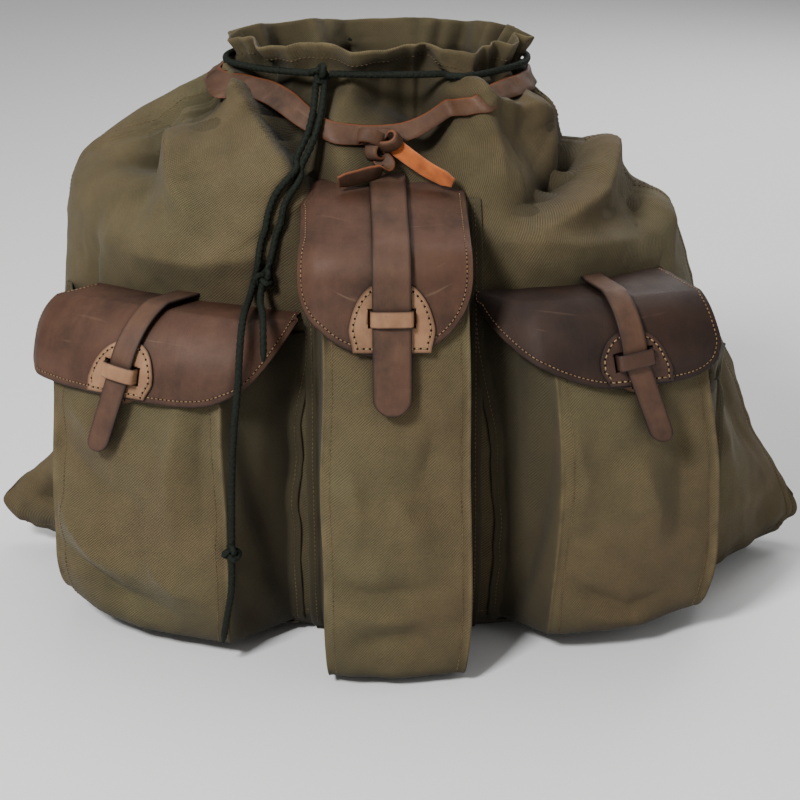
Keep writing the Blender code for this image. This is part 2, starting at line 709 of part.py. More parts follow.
def outline_layer(front, name, e, half, lift, thickness, mat):
    """A sheet whose half width at each e is given, centred on the strap's line."""
    e = np.asarray(e, float)
    across = np.linspace(-1, 1, PATCH_COLUMNS)
    x = front.strap_x(e)[:, None] + np.asarray(half)[:, None] * across[None, :]
    grid = np.broadcast_to(e[:, None], x.shape)
    return front.layer(name, x, grid, lift, thickness, mat)


def make_patch(front, leather, slot):
    patch = front.patch
    turn = np.linspace(0.12, 1, PATCH_ROWS)
    up = 1 - turn**1.4
    e = patch.bottom - (patch.bottom - patch.top) * up
    foot = PATCH_FOOT + (1 - PATCH_FOOT) * smooth_step(up / 0.35)
    half = patch.half * foot * (1 - up**PATCH_CURVE) ** (1 / PATCH_CURVE)
    name = f"flap_patch_{front.pocket.name}"
    obj = outline_layer(front, name, e, half, PATCH_LIFT, TRIM_LEATHER, leather)
    cut(obj, slot)


def make_pocket_patch(front, leather):
    patch = front.patch
    e = np.linspace(patch.loop_at - POCKET_PATCH_ABOVE, patch.loop_at + POCKET_PATCH_BELOW, PATCH_ROWS)
    down = np.clip((e - patch.loop_at) / POCKET_PATCH_BELOW, 0.0, 0.97)
    half = POCKET_PATCH_HALF * (1 - down**2.2) ** (1 / 2.2)
    name = f"pocket_patch_{front.pocket.name}"
    outline_layer(front, name, e, half, POCKET_PATCH_LIFT, TRIM_LEATHER, leather)


def make_strap(front, leather, form):
    flap = front.flap
    tip = flap.strap_half
    across = flap.strap_half * np.array([-1.0, 0.0, 1.0])
    sewn = float(front.sewn_e(np.array([flap.strap_x]))[0])
    e_top = np.linspace(sewn, -front.bend, FLAP_TOP_ROWS + 1)[:-1]
    e_bend = np.linspace(-front.bend, front.ease, FLAP_BEND_ROWS + 1)[:-1]
    e_front = np.linspace(front.ease, flap.tongue - tip, STRAP_ROWS)
    e_tip = flap.tongue - tip + tip * np.array([0.45, 0.8, 0.97])
    e = np.concatenate([e_top, e_bend, e_front, e_tip])[:, None]
    near = np.clip((e - (flap.tongue - tip)) / tip, 0.0, 1.0)
    x = front.strap_x(e) + np.sqrt(1 - near**2) * across
    name = f"closure_strap_{front.pocket.name}"
    obj = front.layer(name, x, np.broadcast_to(e, x.shape), STRAP_LIFT, STRAP_LEATHER, leather)
    cut(obj, form)


def loop_half(front):
    """Half the loop's opening, with room for the strap to pass through at a slant."""
    return front.flap.strap_half + LOOP_CLEAR + LOOP_SLANT_ROOM * abs(front.flap.slant)


def loop_frame(front):
    """(place, across, down, out) at the middle of a flap's loop, on the panel."""
    e = front.patch.loop_at
    x = float(front.strap_x(e))
    place = front.surface(x, e)
    slanted = front.surface(x + LOOP_TILT * front.flap.slant * 1e-3, e + 1e-3) - place
    down = slanted / np.linalg.norm(slanted)
    out = front.lifted(x, e, 1e-3) - place
    out = out / np.linalg.norm(out)
    across = np.cross(down, -out)
    return place, across / np.linalg.norm(across), down, out


def loop_block(front, name, profile, half_tall, mat):
    """A closed profile of (across, out) pairs drawn along the strap by half_tall each way."""
    place, across, down, out = loop_frame(front)
    points = []
    for side in (-1, 1):
        for u, v in profile:
            points.append(place + u * across + v * out + side * half_tall * down)
    n = len(profile)
    faces = [list(range(n)), list(range(2 * n - 1, n - 1, -1))]
    faces += [[i, (i + 1) % n, n + (i + 1) % n, n + i] for i in range(n)]
    return solid(name, points, faces, mat)


def make_slot(front, mat):
    half = loop_half(front) + LOOP_LEATHER + SLOT_CLEAR
    high = PATCH_LIFT + TRIM_LEATHER + 0.004
    low = POCKET_PATCH_LIFT + TRIM_LEATHER - 0.0008
    profile = [(-half, low), (half, low), (half, high), (-half, high)]
    name = f"slot_{front.pocket.name}"
    return hide_cutter(loop_block(front, name, profile, LOOP_TALL / 2 + SLOT_CLEAR, mat))


def make_loop(front, leather):
    """An arch over the strap, whose feet come through the slot down to the pocket's patch."""
    half = loop_half(front)
    thick = LOOP_LEATHER
    foot = POCKET_PATCH_LIFT + TRIM_LEATHER + 2 * GAP
    top = LOOP_LIFT
    corner = 0.003
    outer = [
        (-half - thick, foot),
        (-half - thick, top),
        (-half - thick + corner, top + thick),
        (half + thick - corner, top + thick),
        (half + thick, top),
        (half + thick, foot),
    ]
    inner = [(half, foot), (half, top - 0.4 * thick), (half - 0.4 * corner, top)]
    inner += [(-half + 0.4 * corner, top), (-half, top - 0.4 * thick), (-half, foot)]
    loop_block(front, f"strap_loop_{front.pocket.name}", outer + inner, LOOP_TALL / 2, leather)


# Cords, ribbons and what is tied round the neck


def smooth_route(rows, spacing):
    """Evenly spaced points on a smooth curve through the rows."""
    at = np.array([[row.x, row.y, row.z] for row in rows], float)
    ends = np.vstack([2 * at[0] - at[1], at, 2 * at[-1] - at[-2]])
    fine = []
    for i in range(1, len(ends) - 2):
        p0, p1, p2, p3 = ends[i - 1 : i + 3]
        for u in np.linspace(0, 1, 24, endpoint=False):
            fine.append(
                0.5 * (2 * p1 + (p2 - p0) * u + (2 * p0 - 5 * p1 + 4 * p2 - p3) * u**2)
                + 0.5 * (3 * p1 - p0 - 3 * p2 + p3) * u**3
            )
    fine = np.array(fine + [at[-1]])
    far = np.concatenate([[0.0], np.cumsum(np.linalg.norm(np.diff(fine, axis=0), axis=1))])
    even = np.linspace(0, far[-1], max(2, round(far[-1] / spacing)) + 1)
    return np.stack([np.interp(even, far, fine[:, k]) for k in range(3)], axis=1), even


def cord(name, points, radii, mat):
    """A round cord through the points. radii above 1 are where it is knotted."""
    curve = bpy.data.curves.new(name, "CURVE")
    curve.dimensions = "3D"
    curve.bevel_depth = CORD_RADIUS
    curve.bevel_resolution = CORD_RESOLUTION
    curve.use_fill_caps = True
    line = curve.splines.new("POLY")
    line.points.add(len(points) - 1)
    for point, place, radius in zip(line.points, points, radii):
        point.co = (*map(float, place), 1.0)
        point.radius = float(radius)
    curve.materials.append(mat)
    obj = bpy.data.objects.new(name, curve)
    bpy.context.scene.collection.objects.link(obj)
    return obj


def make_cord_ends(mat):
    for name, rows, knot_at in (
        ("drawcord_long_end", LONG_END, LONG_KNOT_AT),
        ("drawcord_short_end", SHORT_END, SHORT_KNOT_AT),
    ):
        points, far = smooth_route(rows, CORD_STEP)
        knot = np.exp(-(((far - knot_at) / KNOT_HALF) ** 4))
        cord(name, points, 1 + (KNOT_SWELL - 1) * knot, mat)


def neck_ring(turns, z, lift):
    """Points round the neck, clear of its gathers by the lift."""
    level = np.interp(z, [row.z for row in SACK[1:]], np.arange(1, len(SACK)))
    at = plain_sack(turns, level)
    beside = plain_sack(turns + 1e-3, level) - plain_sack(turns - 1e-3, level)
    out = unit(np.stack([beside[..., 1], -beside[..., 0], 0 * turns], axis=-1))
    folds = np.maximum(front_folds(at[..., 0], at[..., 1], at[..., 2]), 0.0)
    return at + out * (PLEAT_DEPTH * (1 - PLEAT_MEAN) + folds + lift)[..., None]


def neck_line(turns):
    """Points of the drawcord round the neck."""
    return neck_ring(turns, np.full(len(turns), NECK_CORD_Z), np.full(len(turns), NECK_CORD_LIFT))


def make_neck_cord(mat):
    turns = np.linspace(CORD_KNOT_TURN, CORD_KNOT_TURN + 2 * math.pi, 1440)
    far = np.linalg.norm(neck_line(turns) - neck_line(turns[:1]), axis=1)
    clear = turns[far > CORD_KNOT.wide + GAP]
    points = neck_line(np.linspace(clear[0], clear[-1], NECK_CORD_POINTS))
    cord("drawcord_neck", points, np.ones(len(points)), mat)


def knot_solid(name, knot, turn, mat):
    """A plain rounded solid in place of a knot's wound strands."""
    mesh = bpy.data.meshes.new(name)
    work = bmesh.new()
    bmesh.ops.create_icosphere(work, subdivisions=2, radius=1.0)
    for vert in work.verts:
        vert.co = (vert.co.x * knot.wide, vert.co.y * knot.deep, vert.co.z * knot.tall)
    work.to_mesh(mesh)
    work.free()
    mesh.shade_smooth()
    mesh.materials.append(mat)
    obj = bpy.data.objects.new(name, mesh)
    obj.location = (knot.x, knot.y, knot.z)
    obj.rotation_euler = (0, 0, turn)
    bpy.context.scene.collection.objects.link(obj)


def make_cord_knot(mat):
    """The knot that closes the drawcord round the neck."""
    place = neck_line(np.array([CORD_KNOT_TURN]))[0]
    knot = CORD_KNOT._replace(x=place[0], y=place[1], z=place[2])
    knot_solid("drawcord_knot", knot, CORD_KNOT_TURN + math.pi / 2, mat)


def make_neck_thong(leather, form):
    """A leather band round the neck, lower at the front than at the back."""
    turns = np.linspace(-math.pi, math.pi, THONG_COLUMNS, endpoint=False)
    dip = np.exp(-(((turns - THONG_DIP_TURN) / THONG_DIP_SPREAD) ** 2))
    middle = THONG_BACK_Z + (THONG_FRONT_Z - THONG_BACK_Z) * dip
    rows = []
    for lift in (THONG_LIFT + THONG_LEATHER, THONG_LIFT):
        for side in (1, -1):
            z = middle + side * THONG_TALL / 2
            rows.append(neck_ring(turns, z, np.full(len(turns), lift)))
    cut(shell("neck_thong", np.array(rows[:2]), np.array(rows[2:]), leather, wrap=True), form)


def ribbon(name, rows, half, thickness, mat, spacing, first_across, last_across):
    """A flat strip along the rows, and the way its width lies at each end."""
    points, far = smooth_route(rows, spacing)
    along = unit(np.gradient(points, axis=0))
    share = (far / far[-1])[:, None]
    width = np.asarray(first_across) * (1 - share) + np.asarray(last_across) * share
    width = unit(width - along * np.sum(width * along, axis=1)[:, None])
    half_face = unit(np.cross(width, along))[:, None, :] * thickness / 2
    sides = np.array([-1.0, 0.0, 1.0])[None, :, None] * half
    grid = points[:, None, :] + width[:, None, :] * sides
    return shell(name, grid + half_face, grid - half_face, mat)


# The back: an anchor patch, two shoulder straps, their buckles and the tabs at the corners


def back_y(x, z):
    """How far back the sack's back is at this x and height."""
    x, z = np.broadcast_arrays(np.asarray(x, float), np.asarray(z, float))
    level = np.interp(z, [row.z for row in SACK[1:]], np.arange(1, len(SACK)))
    half = np.where(x > 0, row_spline(SACK, "right", level), row_spline(SACK, "left", level))
    c = np.clip(np.abs(x) / half, 0, 0.999) ** (1 / FACE_FLATNESS)
    return plain_sack(np.arccos(np.sign(x) * c), level)[..., 1]


def back_frame(x, z):
    """(place, across, out) at this x and height on the sack's back. across and out are level."""
    step = TAB_HALF / 2
    place = np.array([x, float(back_y(x, z)), z])
    beside = float(back_y(x + step, z) - back_y(x - step, z))
    across = unit(np.array([2 * step, beside, 0.0]))
    return place, across, np.array([-across[1], across[0], 0.0])


def back_sheet(name, middle_x, middle_z, half, half_tall, mat):
    """A leather patch that lies on the sack's back."""
    x = middle_x + np.linspace(-half, half, 4)[None, :]
    z = middle_z + np.linspace(half_tall, -half_tall, 5)[:, None]
    x, z = np.broadcast_arrays(x, z)
    grid = np.stack([x, back_y(x, z) + BACK_LIFT, z], axis=-1)
    return shell(name, grid + np.array([0.0, STRAP_LEATHER, 0.0]), grid, mat)


def make_back(leather, metal):
    back_sheet("back_anchor", 0.0, ANCHOR_Z, ANCHOR_HALF, ANCHOR_HALF_TALL, leather)
    for side, name in ((-1, "left"), (1, "right")):
        place, across, out = back_frame(side * LOWER_X, LOWER_Z)
        rows = [
            RoutePoint(side * row.x, float(back_y(side * row.x, row.z)) + row.off, row.z)
            for row in SHOULDER
        ]
        rows += [RoutePoint(*(place + off * out)) for off in LOWER_RUN]
        strap = f"shoulder_strap_{name}"
        width = (1.0, 0.0, 0.0)
        ribbon(strap, rows, SHOULDER_HALF, SHOULDER_LEATHER, leather, SHOULDER_STEP, width, across)
        make_buckle(f"strap_buckle_{name}", place + BUCKLE.off * out, across, out, metal)
        tab = f"lower_tab_{name}"
        back_sheet(tab, side * LOWER_X, LOWER_Z, TAB_HALF, TAB_HALF_TALL, leather)


def make_buckle(name, middle, across, out, metal):
    """A plain frame round the strap's end."""
    points = []
    for depth in (-BUCKLE.thick / 2, BUCKLE.thick / 2):
        for grow in (BUCKLE.wire, 0.0):
            for u, v in ((-1, -1), (1, -1), (1, 1), (-1, 1)):
                wide = u * (SHOULDER_HALF + BUCKLE.clear + grow)
                tall = v * (SHOULDER_LEATHER / 2 + BUCKLE.clear + grow)
                points.append(middle + wide * across + depth * out + np.array([0, 0, tall]))
    faces = []
    for i in range(4):
        n = (i + 1) % 4
        faces += halves([i, n, 4 + n, 4 + i])
        faces += halves([8 + i, 12 + i, 12 + n, 8 + n])
        faces += halves([i, 8 + i, 8 + n, n])
        faces += halves([4 + i, 4 + n, 12 + n, 12 + i])
    solid(name, points, faces, metal)


def centre_on_floor():
    """Moves everything so that the box round all but the free cord ends stands on the origin."""
    bpy.context.view_layer.update()
    graph = bpy.context.evaluated_depsgraph_get()
    places = []
    for obj in bpy.data.objects:
        if not obj.hide_render and obj.name not in FREE_CORDS:
            seen = obj.evaluated_get(graph)
            places += [seen.matrix_world @ vert.co for vert in seen.to_mesh().vertices]
            seen.to_mesh_clear()
    low, high = np.min(places, axis=0), np.max(places, axis=0)
    middle = Vector(((low[0] + high[0]) / 2, (low[1] + high[1]) / 2, low[2]))
    for obj in bpy.data.objects:
        obj.location -= middle


def make_parts():
    clear_scene()
    canvas = material("canvas", (0.105, 0.095, 0.055), 0.9)
    leather = material("leather", (0.13, 0.06, 0.04), 0.55)
    tan = material("tan_leather", (0.22, 0.13, 0.07), 0.6)
    cord_green = material("drawcord", (0.012, 0.022, 0.016), 0.8)
    metal = material("dull_brass", (0.35, 0.28, 0.15), 0.45)
    metal.node_tree.nodes["Principled BSDF"].inputs["Metallic"].default_value = 1.0
    form = make_sack(canvas)
    for pocket in POCKETS:
        front = Front(pocket)
        slot = make_slot(front, leather)
        make_pocket(front, canvas, form)
        make_flap(front, leather, form, slot)
        make_patch(front, tan, slot)
        make_pocket_patch(front, tan)
        make_strap(front, leather, form)
        make_loop(front, tan)
    make_neck_thong(leather, form)
    knot_solid("thong_knot", THONG_KNOT, 0.0, leather)
    for name, rows, half, mat in (
        ("thong_tail_long", THONG_TAIL_LONG, 0.0062, leather),
        ("thong_tail_short", THONG_TAIL_SHORT, 0.0055, tan),
    ):
        ribbon(name, rows, half, THONG_LEATHER, mat, 0.010, TAIL_ACROSS, TAIL_ACROSS)
    make_neck_cord(cord_green)
    make_cord_knot(cord_green)
    make_cord_ends(cord_green)
    make_back(leather, metal)
    centre_on_floor()


make_parts()
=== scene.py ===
"""The hunting rucksack's looks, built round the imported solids.

Shapes are drawn with the sack's own middle at x = y = 0, as the solids were, and then moved by
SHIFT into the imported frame. Left and right are as seen from the front, which faces -Y.
"""

import math
from collections import namedtuple

import bmesh
import bpy
import numpy as np
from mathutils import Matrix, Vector
from mathutils.bvhtree import BVHTree


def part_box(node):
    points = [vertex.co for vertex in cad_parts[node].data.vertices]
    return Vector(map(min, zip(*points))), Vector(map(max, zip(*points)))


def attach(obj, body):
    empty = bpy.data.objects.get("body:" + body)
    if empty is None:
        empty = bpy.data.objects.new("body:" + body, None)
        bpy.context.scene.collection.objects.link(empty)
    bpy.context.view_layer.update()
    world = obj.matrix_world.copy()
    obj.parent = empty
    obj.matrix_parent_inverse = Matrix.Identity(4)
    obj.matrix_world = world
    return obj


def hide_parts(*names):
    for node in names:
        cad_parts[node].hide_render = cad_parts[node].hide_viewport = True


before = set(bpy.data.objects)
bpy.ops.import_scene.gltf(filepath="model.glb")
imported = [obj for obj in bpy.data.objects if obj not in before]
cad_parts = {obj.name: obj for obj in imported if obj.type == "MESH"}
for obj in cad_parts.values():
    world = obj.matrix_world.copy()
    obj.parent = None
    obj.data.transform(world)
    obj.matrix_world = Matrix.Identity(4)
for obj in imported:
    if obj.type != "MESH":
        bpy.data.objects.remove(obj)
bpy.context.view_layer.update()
BODY = "root"

# Thicknesses of cloth and leather, and the gaps between layers
CANVAS = 0.0016
FLAP_LEATHER = 0.0024
TRIM_LEATHER = 0.0018
STRAP_LEATHER = 0.0022
LAYER_GAP = 0.0007

# The camera, at the photograph's angle
CAMERA_TARGET = (0.004, -0.21, 0.214)
CAMERA_DISTANCE = 1.40
CAMERA_ELEVATION = math.radians(22)
CAMERA_LENS = 90.0

# The sack's horizontal sections. pinch above 1 draws the side seams out to a point.
SackRow = namedtuple("SackRow", "z left right front back pinch")
SACK = [
    SackRow(0.000, 0.150, 0.160, 0.095, 0.060, 1.00),
    SackRow(0.000, 0.222, 0.245, 0.140, 0.084, 1.15),
    SackRow(0.009, 0.250, 0.285, 0.157, 0.096, 1.30),
    SackRow(0.034, 0.268, 0.305, 0.166, 0.104, 1.40),
    SackRow(0.067, 0.272, 0.306, 0.168, 0.108, 1.35),
    SackRow(0.110, 0.267, 0.292, 0.166, 0.109, 1.25),
    SackRow(0.172, 0.265, 0.270, 0.160, 0.108, 1.15),
    SackRow(0.225, 0.262, 0.238, 0.150, 0.104, 1.08),
    SackRow(0.272, 0.256, 0.219, 0.137, 0.098, 1.04),
    SackRow(0.310, 0.250, 0.191, 0.121, 0.090, 1.00),
    SackRow(0.338, 0.235, 0.162, 0.105, 0.080, 1.00),
    SackRow(0.362, 0.205, 0.118, 0.086, 0.069, 1.00),
    SackRow(0.386, 0.150, 0.100, 0.066, 0.058, 1.00),
    SackRow(0.408, 0.118, 0.092, 0.054, 0.052, 1.00),
    SackRow(0.428, 0.126, 0.100, 0.060, 0.058, 1.00),
]
FACE_FLATNESS = 0.86
CLOTH_ROUND = 1.35
# Metres of cloth for each radian round the sack, and where its side seams are
SACK_AROUND = 0.21
SIDE_SEAMS = (-0.10, math.pi - 0.12)
FOLD_SCALE = 1.45

Ear = namedtuple("Ear", "angle z reach spread height")
EARS = [
    Ear(math.radians(0), 0.032, 0.028, 0.26, 0.038),
    Ear(math.radians(180), 0.038, 0.056, 0.22, 0.034),
]

PLEATS = 11
PLEAT_DEPTH = 0.008
PLEAT_MEAN = 0.35
PLEAT_START_Z = 0.325
PLEAT_FULL_Z = 0.395

# Folds of the sack's front as lines through (x, z) points: how high the fold is, how wide it
# is on its left and on its right looking along the line
FoldLine = namedtuple("FoldLine", "height left right points")
FOLD_LINES = [
    FoldLine(-0.018, 0.009, 0.016, [(-0.140, 0.398), (-0.170, 0.376), (-0.214, 0.350), (-0.250, 0.330)]),
    FoldLine(-0.013, 0.018, 0.018, [(-0.186, 0.384), (-0.192, 0.350), (-0.196, 0.290)]),
    FoldLine(0.016, 0.014, 0.012, [(-0.160, 0.392), (-0.168, 0.365), (-0.158, 0.330), (-0.130, 0.290)]),
    FoldLine(-0.012, 0.012, 0.012, [(-0.178, 0.392), (-0.145, 0.388), (-0.110, 0.380)]),
    FoldLine(0.015, 0.008, 0.026,
        [(-0.118, 0.398), (-0.098, 0.372), (-0.082, 0.354), (-0.060, 0.328), (-0.048, 0.300)]),
    FoldLine(-0.019, 0.014, 0.008, [(-0.096, 0.398), (-0.072, 0.362), (-0.052, 0.332), (-0.046, 0.290)]),
    FoldLine(0.007, 0.016, 0.016, [(-0.050, 0.390), (-0.036, 0.340), (-0.034, 0.310)]),
    FoldLine(-0.018, 0.016, 0.016, [(-0.010, 0.398), (0.020, 0.392), (0.060, 0.386)]),
    FoldLine(0.011, 0.010, 0.010, [(0.036, 0.398), (0.050, 0.380), (0.074, 0.354), (0.084, 0.322)]),
    FoldLine(0.017, 0.016, 0.008,
        [(0.046, 0.400), (0.064, 0.380), (0.092, 0.372), (0.114, 0.360), (0.130, 0.338), (0.132, 0.312)]),
    FoldLine(-0.024, 0.010, 0.012,
        [(0.142, 0.396), (0.141, 0.365), (0.132, 0.342), (0.100, 0.322), (0.070, 0.312)]),
    FoldLine(0.015, 0.009, 0.018,
        [(0.156, 0.386), (0.166, 0.352), (0.150, 0.320), (0.104, 0.304), (0.060, 0.298)]),
    FoldLine(-0.012, 0.008, 0.008, [(0.168, 0.378), (0.184, 0.336), (0.184, 0.300), (0.176, 0.272)]),
    FoldLine(0.010, 0.006, 0.014, [(0.172, 0.366), (0.198, 0.322), (0.206, 0.270), (0.204, 0.230)]),
    FoldLine(0.008, 0.008, 0.020, [(0.060, 0.302), (0.130, 0.292), (0.200, 0.286), (0.230, 0.270)]),
    FoldLine(0.008, 0.010, 0.020, [(-0.060, 0.296), (-0.140, 0.282), (-0.220, 0.284), (-0.250, 0.300)]),
    FoldLine(-0.008, 0.008, 0.010, [(-0.222, 0.330), (-0.236, 0.260), (-0.232, 0.180), (-0.240, 0.100)]),
    FoldLine(0.010, 0.010, 0.014, [(0.206, 0.270), (0.236, 0.190), (0.256, 0.120), (0.280, 0.050)]),
    FoldLine(-0.010, 0.010, 0.010, [(0.222, 0.250), (0.262, 0.160), (0.300, 0.070)]),
    FoldLine(0.009, 0.008, 0.012, [(-0.220, 0.130), (-0.270, 0.080), (-0.310, 0.050)]),
    FoldLine(-0.010, 0.010, 0.010, [(-0.230, 0.090), (-0.280, 0.056), (-0.320, 0.030)]),
]

BACK_FOLDS = [
    FoldLine(0.007, 0.014, 0.020, [(-0.080, 0.400), (-0.130, 0.350), (-0.190, 0.290), (-0.230, 0.220)]),
    FoldLine(-0.009, 0.012, 0.016, [(-0.060, 0.400), (-0.100, 0.345), (-0.140, 0.280)]),
    FoldLine(0.006, 0.012, 0.016, [(-0.030, 0.398), (-0.046, 0.350), (-0.060, 0.300)]),
    FoldLine(-0.007, 0.014, 0.012, [(0.020, 0.398), (0.034, 0.350), (0.060, 0.290)]),
    FoldLine(0.008, 0.016, 0.014, [(0.060, 0.400), (0.100, 0.345), (0.150, 0.270), (0.190, 0.200)]),
    FoldLine(-0.008, 0.014, 0.014, [(0.080, 0.398), (0.130, 0.330), (0.180, 0.250)]),
    FoldLine(0.006, 0.020, 0.014, [(-0.230, 0.110), (-0.120, 0.092), (0.000, 0.086), (0.120, 0.094)]),
    FoldLine(-0.006, 0.016, 0.016, [(-0.180, 0.070), (-0.060, 0.058), (0.080, 0.060), (0.200, 0.074)]),
    FoldLine(0.007, 0.012, 0.018, [(-0.240, 0.200), (-0.180, 0.150), (-0.110, 0.120)]),
    FoldLine(0.007, 0.012, 0.018, [(0.250, 0.190), (0.190, 0.150), (0.110, 0.130)]),
    FoldLine(-0.007, 0.012, 0.012, [(-0.270, 0.080), (-0.220, 0.110), (-0.190, 0.160)]),
    FoldLine(-0.007, 0.012, 0.012, [(0.280, 0.080), (0.230, 0.110), (0.200, 0.160)]),
]

# Pockets, their feet and their flaps, as in the solids
Pocket = namedtuple("Pocket", "name x yaw seam_z brow_z seam_half panel_half depth lean bulge")
POCKETS = [
    Pocket("centre", 0.000, math.radians(2), 0.332, 0.315, 0.056, 0.053, 0.047, 0.018, 0.006),
    Pocket("left", -0.172, math.radians(-26), 0.252, 0.256, 0.106, 0.078, 0.042, 0.006, 0.010),
    Pocket("right", 0.160, math.radians(17), 0.264, 0.267, 0.100, 0.066, 0.038, 0.006, 0.008),
]
Foot = namedtuple("Foot", "forward floor heel")
FEET = {
    "centre": Foot(0.028, 0.003, 0.000),
    "left": Foot(0.000, 0.009, 0.020),
    "right": Foot(0.000, 0.014, 0.006),
}
Flap = namedtuple(
    "Flap",
    "half shift tuck_out tuck_in drop droop_out droop_in strap_x slant up_slant strap_half tongue",
)
FLAPS = {
    "centre": Flap(0.058, -0.006, 0, 0, 0.054, 0.003, 0.003, -0.003, 0, 0, 0.0125, 0.095),
    "left": Flap(
        0.109, 0.001, 0.040, 0.012, 0.040, 0.016, 0.006, 0.000, -0.33, -0.21, 0.0085, 0.082
    ),
    "right": Flap(
        0.084, -0.016, 0.016, 0.008, 0.038, 0.005, 0.003, -0.0035, 0.36, 0.08, 0.0085, 0.080
    ),
}
Patch = namedtuple("Patch", "half top bottom loop_at")
PATCHES = {
    "centre": Patch(0.030, 0.001, 0.051, 0.027),
    "left": Patch(0.027, 0.000, 0.038, 0.020),
    "right": Patch(0.027, 0.000, 0.036, 0.018),
}
# The hem of a flap at its left and right ends: e at the very end, and the curve's two powers
Hem = namedtuple("Hem", "end power root")
HEMS = {
    "centre": (Hem(0.004, 2.2, 0.50), Hem(-0.002, 2.2, 0.50)),
    "left": (Hem(0.006, 3.4, 0.55), Hem(-0.026, 5.0, 0.95)),
    "right": (Hem(-0.020, 1.6, 0.60), Hem(0.004, 5.0, 0.40)),
}
TUCK_END = 0.020
FLAP_COLUMNS = 150
FLAP_ROWS = 84
PATCH_CURVE = 2.3
PATCH_FOOT = 0.88
LOOP_TALL = 0.011
LOOP_CLEAR = 0.0010
LOOP_LEATHER = 0.0016
LOOP_TILT = 0.35
LOOP_SLANT_ROOM = 0.0070
POCKET_PATCH_HALF = 0.022
POCKET_PATCH_ABOVE = 0.014
POCKET_PATCH_BELOW = 0.026

PocketRow = namedtuple("PocketRow", "down depth panel seam")
POCKET_SHAPE = [
    PocketRow(0.00, 0.96, 0.96, 0.96),
    PocketRow(0.12, 1.00, 0.98, 1.00),
    PocketRow(0.35, 1.06, 1.00, 1.00),
    PocketRow(0.62, 1.10, 1.02, 1.00),
    PocketRow(0.82, 1.12, 1.02, 1.00),
    PocketRow(0.93, 1.08, 0.99, 0.99),
    PocketRow(0.985, 0.94, 0.94, 0.97),
    PocketRow(1.00, 0.66, 0.88, 0.92),
    PocketRow(1.00, 0.00, 0.78, 0.80),
]
POCKET_UNDER = 0.014
GUSSET_RISE = 0.004
GUSSET_SAG = 0.004

BEND_RADIUS = 0.016
SOFT_BEND = {"centre": 0.020, "left": 0.042, "right": 0.042}
BEND_TURN = math.radians(72)
FLAP_SINK = 0.0020
SETTLE_FADE = 0.016
END_BLEND = 0.002
LONGEST_TOP = 0.130
SIDE_FALL = 0.040
POCKET_PATCH_LIFT = LAYER_GAP
FLAP_LIFT = POCKET_PATCH_LIFT + TRIM_LEATHER + LAYER_GAP
PATCH_LIFT = FLAP_LIFT + FLAP_LEATHER + 0.0001
STRAP_LIFT = FLAP_LIFT + FLAP_LEATHER + LAYER_GAP + TRIM_LEATHER + LAYER_GAP
LOOP_LIFT = STRAP_LIFT + STRAP_LEATHER + LOOP_CLEAR

# Stitching
STITCH_LENGTH = 0.0024
STITCH_RADIUS = 0.00042
SEAM_PITCH = 0.0034
FLAP_PITCH = 0.0033
PATCH_PITCH = 0.0044
BACK_PITCH = 0.0040
SHOULDER_PITCH = 0.0045
PATCH_STITCH_LENGTH = 0.0030
PATCH_STITCH_RADIUS = 0.00055
STITCH_INSET = 0.0042

# The drawcord and the thong
CORD_RADIUS = 0.0025
NECK_CORD_Z = 0.411
NECK_CORD_LIFT = 0.0032
CORD_KNOT_TURN = math.radians(-113)
NECK_CORD_GAP = 0.06
NECK_CORD_POINTS = 1400
LONG_KNOT_AT = 0.398
SHORT_KNOT_AT = 0.160
# Routes of the free ends and the tails, as (x, y, z)
LONG_END = [
    (-0.0575, -0.0608, 0.4048),
    (-0.0590, -0.0800, 0.3890),
    (-0.0630, -0.0915, 0.3740),
    (-0.0690, -0.0965, 0.3620),
    (-0.0785, -0.1040, 0.3460),
    (-0.0885, -0.1155, 0.3270),
    (-0.0960, -0.1230, 0.3000),
    (-0.1020, -0.1330, 0.2740),
    (-0.1045, -0.1440, 0.2660),
    (-0.1058, -0.1650, 0.2662),
    (-0.1068, -0.1850, 0.2622),
    (-0.1080, -0.1985, 0.2480),
    (-0.1100, -0.2020, 0.2200),
    (-0.1130, -0.2030, 0.1930),
    (-0.1155, -0.2035, 0.1650),
    (-0.1170, -0.2050, 0.1250),
    (-0.1182, -0.2070, 0.0800),
    (-0.1190, -0.2085, 0.0620),
    (-0.1225, -0.2090, 0.0430),
    (-0.1265, -0.2080, 0.0200),
]
SHORT_END = [
    (-0.0512, -0.0608, 0.4042),
    (-0.0530, -0.0805, 0.3890),
    (-0.0572, -0.0920, 0.3740),
    (-0.0628, -0.0975, 0.3610),
    (-0.0720, -0.1060, 0.3460),
    (-0.0800, -0.1165, 0.3270),
    (-0.0850, -0.1245, 0.3080),
    (-0.0900, -0.1310, 0.2900),
    (-0.0955, -0.1410, 0.2740),
    (-0.0960, -0.1570, 0.2675),
    (-0.0930, -0.1750, 0.2650),
    (-0.0920, -0.1905, 0.2580),
    (-0.0918, -0.1960, 0.2370),
]

